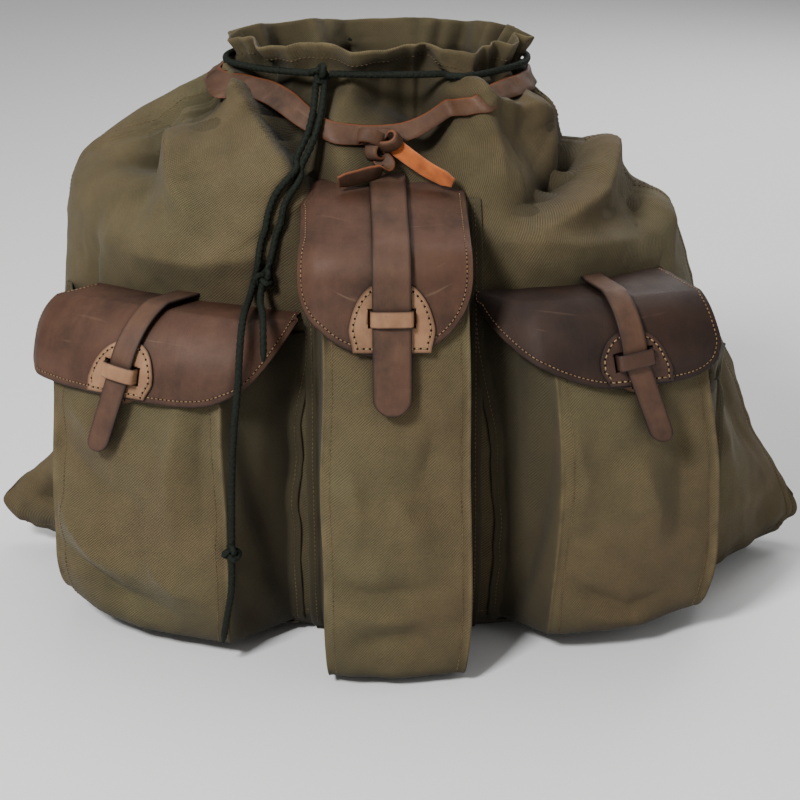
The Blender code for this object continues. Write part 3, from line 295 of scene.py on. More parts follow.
# The thong round the neck
THONG_COLUMNS = 360
THONG_TALL = 0.012
THONG_LEATHER = 0.0022
THONG_LIFT = 0.0030
THONG_FRONT_Z = 0.372
THONG_BACK_Z = 0.399
THONG_DIP_TURN = math.radians(-94)
THONG_DIP_SPREAD = math.radians(24)
THONG_KNOT = (-0.0115, -0.1012, 0.3700)
THONG_TAIL_LONG = [
    (-0.0100, -0.1036, 0.3600),
    (-0.0060, -0.1080, 0.3550),
    (-0.0130, -0.1105, 0.3515),
    (-0.0260, -0.1130, 0.3480),
    (-0.0400, -0.1155, 0.3450),
]
THONG_TAIL_SHORT = [
    (0.0000, -0.0990, 0.3672),
    (0.0120, -0.1030, 0.3590),
    (0.0250, -0.1070, 0.3510),
    (0.0420, -0.1110, 0.3430),
]
TAIL_ACROSS = (0.35, -0.30, 0.80)
TAIL_HALF_LONG = 0.0062
TAIL_HALF_SHORT = 0.0055

# The back: shoulder straps, buckles, tabs and the anchor
ShoulderRow = namedtuple("ShoulderRow", "x off z")
SHOULDER = [
    ShoulderRow(0.018, 0.0068, 0.296),
    ShoulderRow(0.024, 0.0300, 0.318),
    ShoulderRow(0.042, 0.0620, 0.300),
    ShoulderRow(0.078, 0.0820, 0.240),
    ShoulderRow(0.115, 0.0880, 0.170),
    ShoulderRow(0.148, 0.0760, 0.105),
    ShoulderRow(0.174, 0.0540, 0.058),
]
LOWER_X = 0.186
LOWER_Z = 0.042
LOWER_RUN = [0.034, 0.018, 0.0042]
BUCKLE_OFF = 0.0061
BUCKLE_CLEAR = 0.0012
BUCKLE_WIRE = 0.0018
SHOULDER_HALF = 0.016
SHOULDER_LEATHER = 0.003
TAB_HALF = 0.019
TAB_HALF_TALL = 0.014
BACK_LIFT = 0.0008
ANCHOR_Z = 0.298
ANCHOR_HALF = 0.036
ANCHOR_HALF_TALL = 0.020

# Looks

WEAVE_PITCH = 0.0021

# The leathers' display colours: the main one, a darker and a paler one, and the cut edge
LEATHERS = {
    "flap_leather": ((76, 49, 36), (48, 32, 24), (94, 65, 47), (28, 19, 15)),
    # The right flap's leather: the flap leather painted darker, as the shade on the sack's right side.
    "flap_leather_shaded": ((46, 28, 19), (30, 19, 14), (58, 38, 27), (20, 14, 11)),
    "strap_leather": ((78, 53, 40), (54, 38, 30), (104, 75, 55), (30, 20, 16)),
    "tan_leather": ((150, 110, 80), (110, 79, 57), (170, 132, 98), (48, 33, 24)),
    # Painted shade on the right pocket's patch and keeper; on the back it is the leather's own colour.
    "tan_leather_dark": ((66, 44, 34), (46, 31, 25), (88, 62, 48), (30, 21, 17)),
    "thong_leather": ((84, 58, 42), (54, 37, 28), (112, 80, 57), (112, 62, 34)),
}


def material(name):
    made = bpy.data.materials.new(name)
    made.use_nodes = True
    return made


class Nodes:
    """A short way to add shader nodes and links."""

    def __init__(self, mat):
        self.tree = mat.node_tree
        self.shader = self.tree.nodes["Principled BSDF"]

    def add(self, kind, **values):
        node = self.tree.nodes.new(kind)
        for key, value in values.items():
            setattr(node, key, value)
        return node

    def put(self, socket, value):
        if isinstance(value, bpy.types.NodeSocket):
            self.tree.links.new(value, socket)
        else:
            socket.default_value = value

    def math(self, operation, a, b=0.0, clamp=False):
        node = self.add("ShaderNodeMath", operation=operation, use_clamp=clamp)
        self.put(node.inputs[0], a)
        self.put(node.inputs[1], b)
        return node.outputs[0]

    def blend(self, share, a, b, mode="MIX"):
        node = self.add("ShaderNodeMix", data_type="RGBA", blend_type=mode)
        self.put(node.inputs["Factor"], share)
        self.put(node.inputs[6], a)
        self.put(node.inputs[7], b)
        return node.outputs[2]

    def span(self, value, low, high, to_low=0.0, to_high=1.0):
        node = self.add("ShaderNodeMapRange", clamp=True)
        self.put(node.inputs[0], value)
        for index, number in enumerate((low, high, to_low, to_high)):
            node.inputs[1 + index].default_value = number
        return node.outputs[0]

    def noise(self, at, scale, detail=3.0, roughness=0.5, stretch=(1, 1, 1)):
        place = self.add("ShaderNodeMapping")
        self.put(place.inputs["Vector"], at)
        place.inputs["Scale"].default_value = stretch
        node = self.add("ShaderNodeTexNoise")
        self.put(node.inputs["Vector"], place.outputs[0])
        node.inputs["Scale"].default_value = scale
        node.inputs["Detail"].default_value = detail
        node.inputs["Roughness"].default_value = roughness
        return node.outputs["Fac"]

    def painted_hollow_shade(self, colour, reach, darkest):
        """Painted shade: the colour made darker where the surface is closed in by what is round it."""
        node = self.add("ShaderNodeAmbientOcclusion", samples=6)
        node.inputs["Distance"].default_value = reach
        shade = self.add("ShaderNodeCombineColor")
        level = self.span(node.outputs["AO"], 0.25, 0.92, darkest, 1.0)
        for socket in shade.inputs:
            self.put(socket, level)
        return self.blend(1.0, colour, shade.outputs[0], "MULTIPLY")

    def attribute(self, name):
        return self.add("ShaderNodeAttribute", attribute_name=name).outputs["Fac"]

    def bump(self, height, strength, distance):
        node = self.add("ShaderNodeBump")
        self.put(node.inputs["Height"], height)
        node.inputs["Strength"].default_value = strength
        node.inputs["Distance"].default_value = distance
        self.put(self.shader.inputs["Normal"], node.outputs[0])


def rgb(red, green, blue):
    """A shader colour from a display colour of 0 to 255."""
    share = np.array([red, green, blue]) / 255.0
    linear = np.where(share > 0.04045, ((share + 0.055) / 1.055) ** 2.4, share / 12.92)
    return (*map(float, linear), 1.0)


def canvas_material(name, light, dark, warm):
    """Waxed twill: diagonal ribs crossed by threads, with faded and darker places, the ribs' tops painted
    lighter and their grooves darker, and painted shade on the gussets, inside the sack and in hollows.
    """
    mat = material(name)
    nodes = Nodes(mat)
    uv = nodes.add("ShaderNodeUVMap", uv_map="cloth").outputs[0]
    parts = nodes.add("ShaderNodeSeparateXYZ")
    nodes.put(parts.inputs[0], uv)
    across, along = parts.outputs[0], parts.outputs[1]
    turn = 2 * math.pi / WEAVE_PITCH
    rib = nodes.math("SINE", nodes.math("MULTIPLY", nodes.math("ADD", across, along), turn))
    thread = nodes.math("SINE", nodes.math("MULTIPLY", nodes.math("SUBTRACT", across, along), 1.3 * turn))
    uneven = nodes.noise(uv, 520.0, 3.0, 0.7)
    slub = nodes.span(nodes.noise(uv, 110.0, 2.0, 0.6), 0.3, 0.7, 0.35, 1.0)
    rib = nodes.math("MULTIPLY", rib, slub)
    height = nodes.math("ADD", nodes.math("MULTIPLY", rib, 0.85), nodes.math("MULTIPLY", thread, 0.35))
    height = nodes.math("ADD", height, nodes.math("MULTIPLY", uneven, 1.3))
    place = nodes.add("ShaderNodeTexCoord").outputs["Object"]
    broad = nodes.span(nodes.noise(place, 7.0, 4.0, 0.55), 0.35, 0.68)
    mottle = nodes.span(nodes.noise(place, 38.0, 4.0, 0.65), 0.30, 0.70)
    colour = nodes.blend(broad, light, warm)
    colour = nodes.blend(nodes.math("MULTIPLY", mottle, 0.35), colour, dark)
    # The ribs painted lighter on their tops and darker between them. This is partly the weave's own colour
    # and partly painted light and shade of the relief.
    shade = nodes.span(height, -0.35, 1.55, 0.38, 1.44)
    lifted = nodes.add("ShaderNodeCombineColor")
    for socket in lifted.inputs:
        nodes.put(socket, shade)
    colour = nodes.blend(0.9, colour, lifted.outputs[0], "MULTIPLY")
    patches = nodes.span(nodes.noise(place, 60.0, 3.0), 0.35, 0.65)
    worn = nodes.math("MULTIPLY", nodes.attribute("edge"), patches)
    colour = nodes.blend(nodes.math("MULTIPLY", worn, 0.30, clamp=True), colour, rgb(134, 118, 84))
    # The gussets and the sack's inside painted darker, as the shade that falls there.
    colour = nodes.blend(nodes.attribute("painted_shade"), colour, dark)
    # Painted shade in the canvas's folds and recesses.
    colour = nodes.painted_hollow_shade(colour, 0.07, 0.30)
    nodes.put(nodes.shader.inputs["Base Color"], colour)
    nodes.shader.inputs["Roughness"].default_value = 0.86
    nodes.shader.inputs["Specular IOR Level"].default_value = 0.25
    nodes.shader.inputs["Sheen Weight"].default_value = 0.05
    nodes.shader.inputs["Sheen Roughness"].default_value = 0.5
    nodes.bump(height, 0.50, 0.00030)
    return mat


def leather_material(name, base, dark, pale, edge_colour):
    """Waxed hide: cloudy colour, pale scuffs and creases, a fine grain, darker cut edges and painted shade in
    hollows.
    """
    mat = material(name)
    nodes = Nodes(mat)
    uv = nodes.add("ShaderNodeUVMap", uv_map="cloth").outputs[0]
    place = nodes.add("ShaderNodeTexCoord").outputs["Object"]
    cloud = nodes.span(nodes.noise(place, 16.0, 4.0, 0.6), 0.34, 0.66)
    patchy = nodes.span(nodes.noise(place, 46.0, 5.0, 0.65), 0.38, 0.72)
    streaks = nodes.span(nodes.noise(uv, 90.0, 6.0, 0.75, (1.0, 0.18, 1.0)), 0.48, 0.74)
    scratch = nodes.span(nodes.noise(uv, 120.0, 3.0, 0.5, (0.10, 1.0, 1.0)), 0.66, 0.74)
    colour = nodes.blend(cloud, base, dark)
    colour = nodes.blend(nodes.math("MULTIPLY", patchy, 0.45), colour, pale)
    colour = nodes.blend(nodes.math("MULTIPLY", streaks, 0.35), colour, pale)
    colour = nodes.blend(nodes.math("MULTIPLY", scratch, 0.17), colour, rgb(168, 138, 112))
    patches = nodes.span(nodes.noise(place, 30.0, 4.0), 0.3, 0.7)
    rubbed = nodes.math("MULTIPLY", nodes.attribute("bend"), patches)
    colour = nodes.blend(nodes.math("MULTIPLY", rubbed, 0.55, clamp=True), colour, pale)
    colour = nodes.blend(nodes.attribute("edge"), colour, edge_colour)
    # Painted shade in the leather's creases and where it meets other pieces.
    colour = nodes.painted_hollow_shade(colour, 0.03, 0.45)
    nodes.put(nodes.shader.inputs["Base Color"], colour)
    rough = nodes.span(cloud, 0.0, 1.0, 0.52, 0.72)
    nodes.put(nodes.shader.inputs["Roughness"], rough)
    nodes.shader.inputs["Specular IOR Level"].default_value = 0.28
    grain = nodes.add("ShaderNodeTexVoronoi", feature="DISTANCE_TO_EDGE")
    nodes.put(grain.inputs["Vector"], uv)
    grain.inputs["Scale"].default_value = 900.0
    pores = nodes.span(grain.outputs["Distance"], 0.0, 0.28)
    creased = nodes.noise(uv, 95.0, 6.0, 0.7)
    height = nodes.math("ADD", nodes.math("MULTIPLY", pores, 0.35), creased)
    nodes.bump(height, 0.35, 0.0006)
    return mat


def suede_material(name, base, dark):
    """The rough flesh side and cut edges of the thong."""
    mat = material(name)
    nodes = Nodes(mat)
    place = nodes.add("ShaderNodeTexCoord").outputs["Object"]
    fibre = nodes.noise(place, 900.0, 4.0, 0.7)
    cloud = nodes.span(nodes.noise(place, 90.0, 3.0), 0.35, 0.7)
    nodes.put(nodes.shader.inputs["Base Color"], nodes.blend(cloud, base, dark))
    nodes.shader.inputs["Roughness"].default_value = 0.95
    nodes.shader.inputs["Sheen Weight"].default_value = 0.25
    nodes.bump(fibre, 0.5, 0.0004)
    return mat


def plain_material(name, base, dark, roughness, scale, metallic=0.0):
    mat = material(name)
    nodes = Nodes(mat)
    place = nodes.add("ShaderNodeTexCoord").outputs["Object"]
    cloud = nodes.span(nodes.noise(place, scale, 3.0), 0.35, 0.65)
    nodes.put(nodes.shader.inputs["Base Color"], nodes.blend(cloud, base, dark))
    nodes.shader.inputs["Roughness"].default_value = roughness
    nodes.shader.inputs["Metallic"].default_value = metallic
    nodes.shader.inputs["Specular IOR Level"].default_value = 0.5 if metallic else 0.22
    nodes.bump(cloud, 0.2, 0.0003)
    return mat


# Arithmetic


def spline(at, knots, values):
    """A monotone cubic through values at the knots, so that a section never overshoots."""
    knots = np.asarray(knots, float)
    values = np.asarray(values, float)
    step = np.diff(knots)
    slope = np.diff(values) / step
    both = slope[:-1] + slope[1:]
    mean = 2 * slope[:-1] * slope[1:] / np.where(both == 0, 1, both)
    inner = np.where(slope[:-1] * slope[1:] > 0, mean, 0.0)
    tangent = np.concatenate([slope[:1], inner, slope[-1:]])
    at = np.clip(np.asarray(at, float), knots[0], knots[-1])
    i = np.clip(np.searchsorted(knots, at, side="right") - 1, 0, len(step) - 1)
    u = (at - knots[i]) / step[i]
    return (
        (2 * u**3 - 3 * u**2 + 1) * values[i]
        + (u**3 - 2 * u**2 + u) * step[i] * tangent[i]
        + (3 * u**2 - 2 * u**3) * values[i + 1]
        + (u**3 - u**2) * step[i] * tangent[i + 1]
    )


def row_spline(rows, name, at):
    return spline(at, range(len(rows)), [getattr(row, name) for row in rows])


def unit(vectors):
    return vectors / np.maximum(np.linalg.norm(vectors, axis=-1, keepdims=True), 1e-12)


def smooth_step(x):
    x = np.clip(x, 0.0, 1.0)
    return x * x * (3 - 2 * x)


def lattice_noise(x, y, seed):
    """Smooth noise from -1 to 1 with a cell of 1."""
    table = np.random.default_rng(seed).random((64, 64))
    xi, yi = np.floor(x).astype(int), np.floor(y).astype(int)
    fx, fy = smooth_step(x - xi), smooth_step(y - yi)
    corner = lambda i, j: table[(xi + i) % 64, (yi + j) % 64]
    low = corner(0, 0) * (1 - fx) + corner(1, 0) * fx
    high = corner(0, 1) * (1 - fx) + corner(1, 1) * fx
    return 2 * (low * (1 - fy) + high * fy) - 1


def crumple(x, y, seed, cell):
    """Soft dents with a few sharper creases, from about -1 to 1."""
    bend = 0.6 * lattice_noise(x / (1.7 * cell), y / (1.7 * cell), seed)
    soft = lattice_noise(x / cell + bend, y / cell - bend, seed + 1)
    crease = 1 - 2 * np.abs(lattice_noise(0.8 * x / cell - bend, 0.8 * y / cell + bend, seed + 2))
    return 0.65 * soft + 0.35 * (crease - 0.2)


def lengths_along(points):
    """Distance from the first point to each, along the line."""
    steps = np.linalg.norm(np.diff(points, axis=0), axis=1)
    return np.concatenate([[0.0], np.cumsum(steps)])


def resample(points, spacing):
    """(points, tangents, distances) evenly along a line."""
    far = lengths_along(points)
    even = np.linspace(0, far[-1], max(2, round(far[-1] / spacing)) + 1)
    made = np.stack([np.interp(even, far, points[:, k]) for k in range(3)], axis=1)
    return made, unit(np.gradient(made, axis=0)), even


def smooth_route(rows, spacing):
    """Evenly spaced points on a smooth curve through the rows."""
    at = np.array(rows, float)
    ends = np.vstack([2 * at[0] - at[1], at, 2 * at[-1] - at[-2]])
    fine = []
    for i in range(1, len(ends) - 2):
        p0, p1, p2, p3 = ends[i - 1 : i + 3]
        for u in np.linspace(0, 1, 24, endpoint=False):
            fine.append(
                0.5 * (2 * p1 + (p2 - p0) * u + (2 * p0 - 5 * p1 + 4 * p2 - p3) * u**2)
                + 0.5 * (3 * p1 - p0 - 3 * p2 + p3) * u**3
            )
    return resample(np.array(fine + [at[-1]]), spacing)


# Meshes


def shift_of_frame():
    """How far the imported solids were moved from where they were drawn."""
    low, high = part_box("thong_knot")
    return (np.array(low) + np.array(high)) / 2 - np.array(THONG_KNOT)


SHIFT = shift_of_frame()


def mesh_object(name, points, faces, mats, uv=None, slots=None, smooth=True, attributes=None):
    """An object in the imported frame, with a UV map called cloth in metres."""
    mesh = bpy.data.meshes.new(name)
    mesh.from_pydata((np.asarray(points) + SHIFT).tolist(), [], faces)
    mats = mats if isinstance(mats, (list, tuple)) else [mats]
    for mat in mats:
        mesh.materials.append(mat)
    if slots is not None:
        mesh.polygons.foreach_set("material_index", np.asarray(slots, np.int32))
    corner = np.empty(len(mesh.loops), np.int32)
    mesh.loops.foreach_get("vertex_index", corner)
    if uv is None:
        uv = np.asarray(points)[:, [0, 2]]
    layer = mesh.uv_layers.new(name="cloth")
    layer.data.foreach_set("uv", np.asarray(uv, np.float32)[corner].ravel())
    for key, values in (attributes or {}).items():
        made = mesh.attributes.new(key, "FLOAT", "POINT")
        made.data.foreach_set("value", np.asarray(values, np.float32).ravel())
    if smooth:
        mesh.shade_smooth()
    mesh.validate()
    obj = bpy.data.objects.new(name, mesh)
    bpy.context.scene.collection.objects.link(obj)
    return obj


def quads(rows, cols, wrap=False, first=0, flip=False):
    """Faces of a grid of points."""
    across = cols if wrap else cols - 1
    r, c = np.meshgrid(np.arange(rows - 1), np.arange(across), indexing="ij")
    n = (c + 1) % cols
    ring = np.stack([r * cols + c, r * cols + n, (r + 1) * cols + n, (r + 1) * cols + c], axis=-1)
    ring = ring.reshape(-1, 4) + first
    return ring[:, ::-1] if flip else ring


def perimeter(rows, cols):
    """Indices round a grid's edge, once."""
    top = [(0, c) for c in range(cols)]
    right = [(r, cols - 1) for r in range(1, rows)]
    bottom = [(rows - 1, c) for c in range(cols - 2, -1, -1)]
    left = [(r, 0) for r in range(rows - 2, 0, -1)]
    return top + right + bottom + left


def grid_uv(grid, even=False):
    """Distances across and along a grid of points, in metres. even gives each column one u."""
    across = np.linalg.norm(np.diff(grid, axis=1), axis=2)
    along = np.linalg.norm(np.diff(grid, axis=0), axis=2)
    u = np.concatenate([np.zeros((grid.shape[0], 1)), np.cumsum(across, axis=1)], axis=1)
    u = u - u[:, grid.shape[1] // 2 : grid.shape[1] // 2 + 1]
    if even:
        u = np.broadcast_to(np.mean(u, axis=0), u.shape)
    v = np.concatenate([np.zeros((1, grid.shape[1])), np.cumsum(along, axis=0)], axis=0)
    middle = v[:, grid.shape[1] // 2 : grid.shape[1] // 2 + 1]
    return np.stack([u, np.broadcast_to(middle, u.shape)], axis=-1)


def grid_normals(grid):
    return unit(np.cross(np.gradient(grid, axis=1), -np.gradient(grid, axis=0)))


def edge_of(grid, width):
    """1 at a grid's edge, falling to 0 a width inside it."""
    uv = grid_uv(grid)
    u = uv[..., 0]
    v = uv[..., 1]
    side = np.minimum(u - u[:, :1], u[:, -1:] - u)
    end = np.minimum(v - v[:1], v[-1:] - v)
    return 1 - smooth_step(np.minimum(side, end) / width)


EDGE_ROUND = 0.3


def thick_sheet(name, top, normal, thickness, mats, edge_width=0.003, extra=None, even=False):
    """A sheet with its face up, its other side below, and a rounded edge between."""
    rows, cols = top.shape[:2]
    below = top - normal * thickness
    ring = perimeter(rows, cols)
    r = np.array([p[0] for p in ring])
    c = np.array([p[1] for p in ring])
    inner_r, inner_c = np.clip(r, 1, rows - 2), np.clip(c, 1, cols - 2)
    border = top[r, c]
    along = np.roll(border, -1, axis=0) - np.roll(border, 1, axis=0)
    out = unit(np.cross(along, normal[r, c]))
    out = out * np.sign(np.sum(out * (border - top[inner_r, inner_c])))
    count = rows * cols
    points = [top.reshape(-1, 3), below.reshape(-1, 3)]
    uv = grid_uv(top, even)
    uvs = [uv.reshape(-1, 2)] * 2
    mark = edge_of(top, edge_width)
    edges = [0.6 * mark.ravel() ** 2, 0.6 * mark.ravel() ** 2]
    faces = [quads(rows, cols), quads(rows, cols, first=count, flip=True)]
    last = r * cols + c
    for share in (0.22, 0.5, 0.78):
        grow = EDGE_ROUND * math.sin(math.pi * share)
        points.append(top[r, c] - normal[r, c] * thickness * share + out * thickness * grow)
        uvs.append(uv[r, c] + 0.0005 * share)
        edges.append(np.ones(len(ring)))
        now = 2 * count + len(ring) * (len(points) - 3) + np.arange(len(ring))
        faces.append(np.stack([last, now, np.roll(now, -1), np.roll(last, -1)], axis=1))
        last = now
    under = count + r * cols + c
    faces.append(np.stack([last, under, np.roll(under, -1), np.roll(last, -1)], axis=1))
    faces = np.concatenate(faces)
    points = np.concatenate(points)
    attributes = {"edge": np.concatenate(edges)}
    for key, values in (extra or {}).items():
        flat = np.asarray(values).ravel()
        ringed = np.asarray(values)[r, c]
        attributes[key] = np.concatenate([flat, flat, ringed, ringed, ringed])
    obj = mesh_object(name, points, faces.tolist(), mats, np.concatenate(uvs), attributes=attributes)
    fix_normals(obj)
    return obj


def fix_normals(obj):
    """Turns a closed mesh's faces outwards."""
    work = bmesh.new()
    work.from_mesh(obj.data)
    if work.calc_volume(signed=True) < 0:
        bmesh.ops.reverse_faces(work, faces=work.faces)
    work.to_mesh(obj.data)
    work.free()


def dress(obj, slot, *nodes):
    """Puts a piece on the body in place of the solids it stands for. The finish, slot, is not used."""
    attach(obj, BODY)
    if nodes:
        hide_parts(*nodes)
    return obj


# Stitches


def stitch_line(place, normal, tangent, length, radius):
    """Points and faces of one stitch, its ends drawn into its holes."""
    side = np.cross(normal, tangent)
    points, faces = [], []
    rings = ((-0.5, 0.45, -0.6), (-0.30, 0.95, 0.25), (0.0, 1.0, 0.45), (0.30, 0.95, 0.25), (0.5, 0.45, -0.6))
    for at, girth, lift in rings:
        middle = place + tangent * at * length + normal * lift * radius
        for k in range(5):
            turn = 2 * math.pi * k / 5
            points.append(middle + radius * girth * (math.cos(turn) * side + math.sin(turn) * normal))
    for i in range(len(rings) - 1):
        for k in range(5):
            n = (k + 1) % 5
            faces.append([5 * i + k, 5 * i + n, 5 * i + 5 + n, 5 * i + 5 + k])
    faces.append([4, 3, 2, 1, 0])
    last = 5 * (len(rings) - 1)
    faces.append([last, last + 1, last + 2, last + 3, last + 4])
    return points, faces


def hole_disc(place, normal, tangent, radius):
    """A small awl hole, as a shallow cone whose dark colour is painted shade inside the hole."""
    side = np.cross(normal, tangent)
    points = [place + normal * 0.00004]
    for k in range(6):
        turn = 2 * math.pi * k / 6
        away = math.cos(turn) * side + math.sin(turn) * tangent
        points.append(place + normal * 0.00008 + radius * away)
    for k in range(6):
        turn = 2 * math.pi * k / 6
        away = math.cos(turn) * side + math.sin(turn) * tangent
        points.append(place - normal * 0.0004 + 0.6 * radius * away)
    faces = [[0, 1 + k, 1 + (k + 1) % 6] for k in range(6)]
    faces += [[1 + k, 7 + k, 7 + (k + 1) % 6, 1 + (k + 1) % 6] for k in range(6)]
    faces.append([12, 11, 10, 9, 8, 7])
    return points, faces


def stitches(name, lines, pitch, mats, slot, length=STITCH_LENGTH, radius=STITCH_RADIUS, holes=True):
    """Rows of stitches along (points, normals) lines that lie on a surface."""
    points, faces, slots = [], [], []

    def add(made, kind):
        first = len(points)
        points.extend(made[0])
        faces.extend([[first + i for i in face] for face in made[1]])
        slots.extend([kind] * len(made[1]))

    for line, normals in lines:
        far = lengths_along(line)
        count = int(far[-1] / pitch)
        at = (np.arange(count) + 0.5) * pitch + 0.5 * (far[-1] - count * pitch)
        tangents = np.gradient(line, axis=0)
        for place_at in at:
            place = np.array([np.interp(place_at, far, line[:, k]) for k in range(3)])
            normal = unit(np.array([np.interp(place_at, far, normals[:, k]) for k in range(3)]))
            tangent = np.array([np.interp(place_at, far, tangents[:, k]) for k in range(3)])
            tangent = unit(tangent - normal * (tangent @ normal))
            add(stitch_line(place, normal, tangent, length, radius), 0)
            if holes:
                end = place - tangent * pitch / 2
                add(hole_disc(end, normal, tangent, 1.6 * radius), 1)
    obj = mesh_object(name, points, faces, mats, slots=slots)
    return dress(obj, slot)


# The sack


def plain_sack(angle, level):
    """The sack without folds. angle is 0 at the right side seam and grows towards the back."""
    c, s = np.cos(angle), np.sin(angle)
    half_width = np.where(c > 0, row_spline(SACK, "right", level), row_spline(SACK, "left", level))
    half_depth = np.where(s > 0, row_spline(SACK, "back", level), row_spline(SACK, "front", level))
    pinch = row_spline(SACK, "pinch", level)
    z = row_spline(SACK, "z", level)
    x = half_width * np.sign(c) * np.abs(c) ** FACE_FLATNESS
    y = half_depth * np.sign(s) * np.abs(s) ** pinch
    for ear in EARS:
        turn = (angle - ear.angle + math.pi) % (2 * math.pi) - math.pi
        out = ear.reach * np.exp(-((turn / ear.spread) ** 2) - ((z - ear.z) / ear.height) ** 2)
        x = x + out * math.cos(ear.angle)
    return np.stack([x, y, z], axis=-1)


def level_at(z):
    """The level, counted in rows of SACK, at which the sack has this height."""
    return np.interp(z, [row.z for row in SACK[1:]], np.arange(1, len(SACK)))


def gather(angle, z):
    """Pleats that deepen towards the mouth, unevenly spaced, with smaller ones between them."""
    phase = PLEATS * angle + 0.8 * np.sin(2 * angle + 0.6) + 0.3 * np.sin(5 * angle + 2.0)
    grown = smooth_step((z - PLEAT_START_Z) / (PLEAT_FULL_Z - PLEAT_START_Z))
    uneven = 0.75 + 0.25 * np.sin(3 * angle + 0.9)
    large = PLEAT_DEPTH * grown * uneven * (np.cos(phase) - PLEAT_MEAN)
    small_phase = 31 * angle + 1.4 * np.sin(4 * angle) + 0.7 * np.sin(9 * angle + 1.0)
    small_grown = smooth_step((z - 0.345) / 0.055)
    small = 0.0016 * small_grown * (1 - 2 * np.abs(np.sin(small_phase / 2)) ** 1.3)
    far_phase = 6 * angle + 1.1 * np.sin(2 * angle + 2.2)
    reach = smooth_step((z - 0.20) / 0.13) * smooth_step((0.42 - z) / 0.08)
    return large + small + 0.0035 * reach * np.cos(far_phase)


def side_folds(lines, x, z):
    """How far one side's large folds push the cloth out."""
    out = np.zeros_like(x)
    for fold in lines:
        best = np.full(x.shape, 1e9)
        side = np.zeros_like(x)
        along = np.zeros_like(x)
        done = 0.0
        total = lengths_along(np.array(fold.points))[-1]
        for (x0, z0), (x1, z1) in zip(fold.points, fold.points[1:]):
            dx, dz = x1 - x0, z1 - z0
            share = np.clip(((x - x0) * dx + (z - z0) * dz) / (dx * dx + dz * dz), 0.0, 1.0)
            ox, oz = x - x0 - share * dx, z - z0 - share * dz
            away = np.hypot(ox, oz)
            nearer = away < best
            side = np.where(nearer, dx * oz - dz * ox, side)
            run = math.hypot(dx, dz)
            along = np.where(nearer, (done + share * run) / total, along)
            done = done + run
            best = np.where(nearer, away, best)
        width = np.where(side > 0, fold.left, fold.right) * (1 + 0.5 * along)
        start = 1.0 if fold.points[0][1] > 0.377 else smooth_step(along / 0.35)
        fade = start * smooth_step((1 - along) / 0.55)
        out = out + FOLD_SCALE * fold.height * fade * np.exp(-((best / width) ** CLOTH_ROUND))
    return out


def fold_push(x, y, z):
    """How far the large folds push the cloth out, those of the front giving way to the back's."""
    at_front = smooth_step((0.03 - y) / 0.07)
    return at_front * side_folds(FOLD_LINES, x, z) + (1 - at_front) * side_folds(BACK_FOLDS, x, z)


def seam_push(angle, z):
    """The ridges of the side seams and of the seam round the base, and the hem at the mouth."""
    side = 0.0
    for at in SIDE_SEAMS:
        turn = (angle - at + math.pi) % (2 * math.pi) - math.pi
        side = side + np.exp(-((turn * 0.16 / 0.0022) ** 2))
    base = np.exp(-(((z - 0.018) / 0.0022) ** 2))
    hem = smooth_step((z - 0.4125) / 0.0015)
    return 0.0011 * np.minimum(side, 1.0) + 0.0010 * base + 0.0007 * hem


def sack_at(angle, level):
    """(points, outward normals) of the sack's outside, with its folds and wrinkles."""
    angle, level = np.broadcast_arrays(np.asarray(angle, float), np.asarray(level, float))
    top = len(SACK) - 1
    step = 1e-3
    at = plain_sack(angle, level)
    round_it = plain_sack(angle + step, level) - plain_sack(angle - step, level)
    up = plain_sack(angle, np.minimum(level + step, top)) - plain_sack(angle, np.maximum(level - step, 0))
    normal = unit(np.cross(round_it, up))
    x, y, z = at[..., 0], at[..., 1], at[..., 2]
    around = angle * SACK_AROUND
    lift = smooth_step(z / 0.02)
    slack = 0.0026 * crumple(around, 1.3 * z, 11, 0.040) + 0.0008 * crumple(around, z, 23, 0.014)
    slack = slack + 0.0030 * lattice_noise(around / 0.09, z / 0.13, 31) * smooth_step((y + 0.02) / 0.05)
    corner = smooth_step((np.abs(x) - 0.235) / 0.05) * smooth_step((0.10 - z) / 0.05)
    slack = slack + 0.0035 * corner * crumple(1.4 * x, z, 47, 0.020)
    push = gather(angle, z) + fold_push(x, y, z) + seam_push(angle, z) + lift * slack
    return at + normal * push[..., None], normal


def even_levels(count):
    """Levels spaced evenly by distance up the front and the side together."""
    fine = np.linspace(1, len(SACK) - 1, 1600)
    run = lengths_along(plain_sack(np.full(fine.shape, -1.2), fine))
    run = run + lengths_along(plain_sack(np.zeros(fine.shape), fine))
    return np.interp(np.linspace(0, run[-1], count), run, fine)


def wrapped_normals(grid):
    """Normals of a grid that closes on itself across."""
    across = np.roll(grid, -1, axis=1) - np.roll(grid, 1, axis=1)
    return unit(np.cross(across, np.gradient(grid, axis=0)))


def mend_wrap(obj, period):
    """Carries the UVs of the faces at the wrap past the end in place of back to the start."""
    mesh = obj.data
    layer = mesh.uv_layers["cloth"]
    uv = np.empty(len(mesh.loops) * 2, np.float32)
    layer.data.foreach_get("uv", uv)
    uv = uv.reshape(-1, 2)
    start = np.empty(len(mesh.polygons), np.int32)
    total = np.empty(len(mesh.polygons), np.int32)
    mesh.polygons.foreach_get("loop_start", start)
    mesh.polygons.foreach_get("loop_total", total)
    high = np.maximum.reduceat(uv[:, 0], start)
    low = np.minimum.reduceat(uv[:, 0], start)
    broken = np.repeat(high - low > period / 2, total)
    middle = np.repeat((high + low) / 2, total)
    uv[:, 0] += np.where(broken & (uv[:, 0] < middle), period, 0.0)
    layer.data.foreach_set("uv", uv.ravel())


SACK_COLUMNS = 340
SACK_LEVELS = 206
INSIDE_STEP = 6
FRONT_SHARE = 0.66


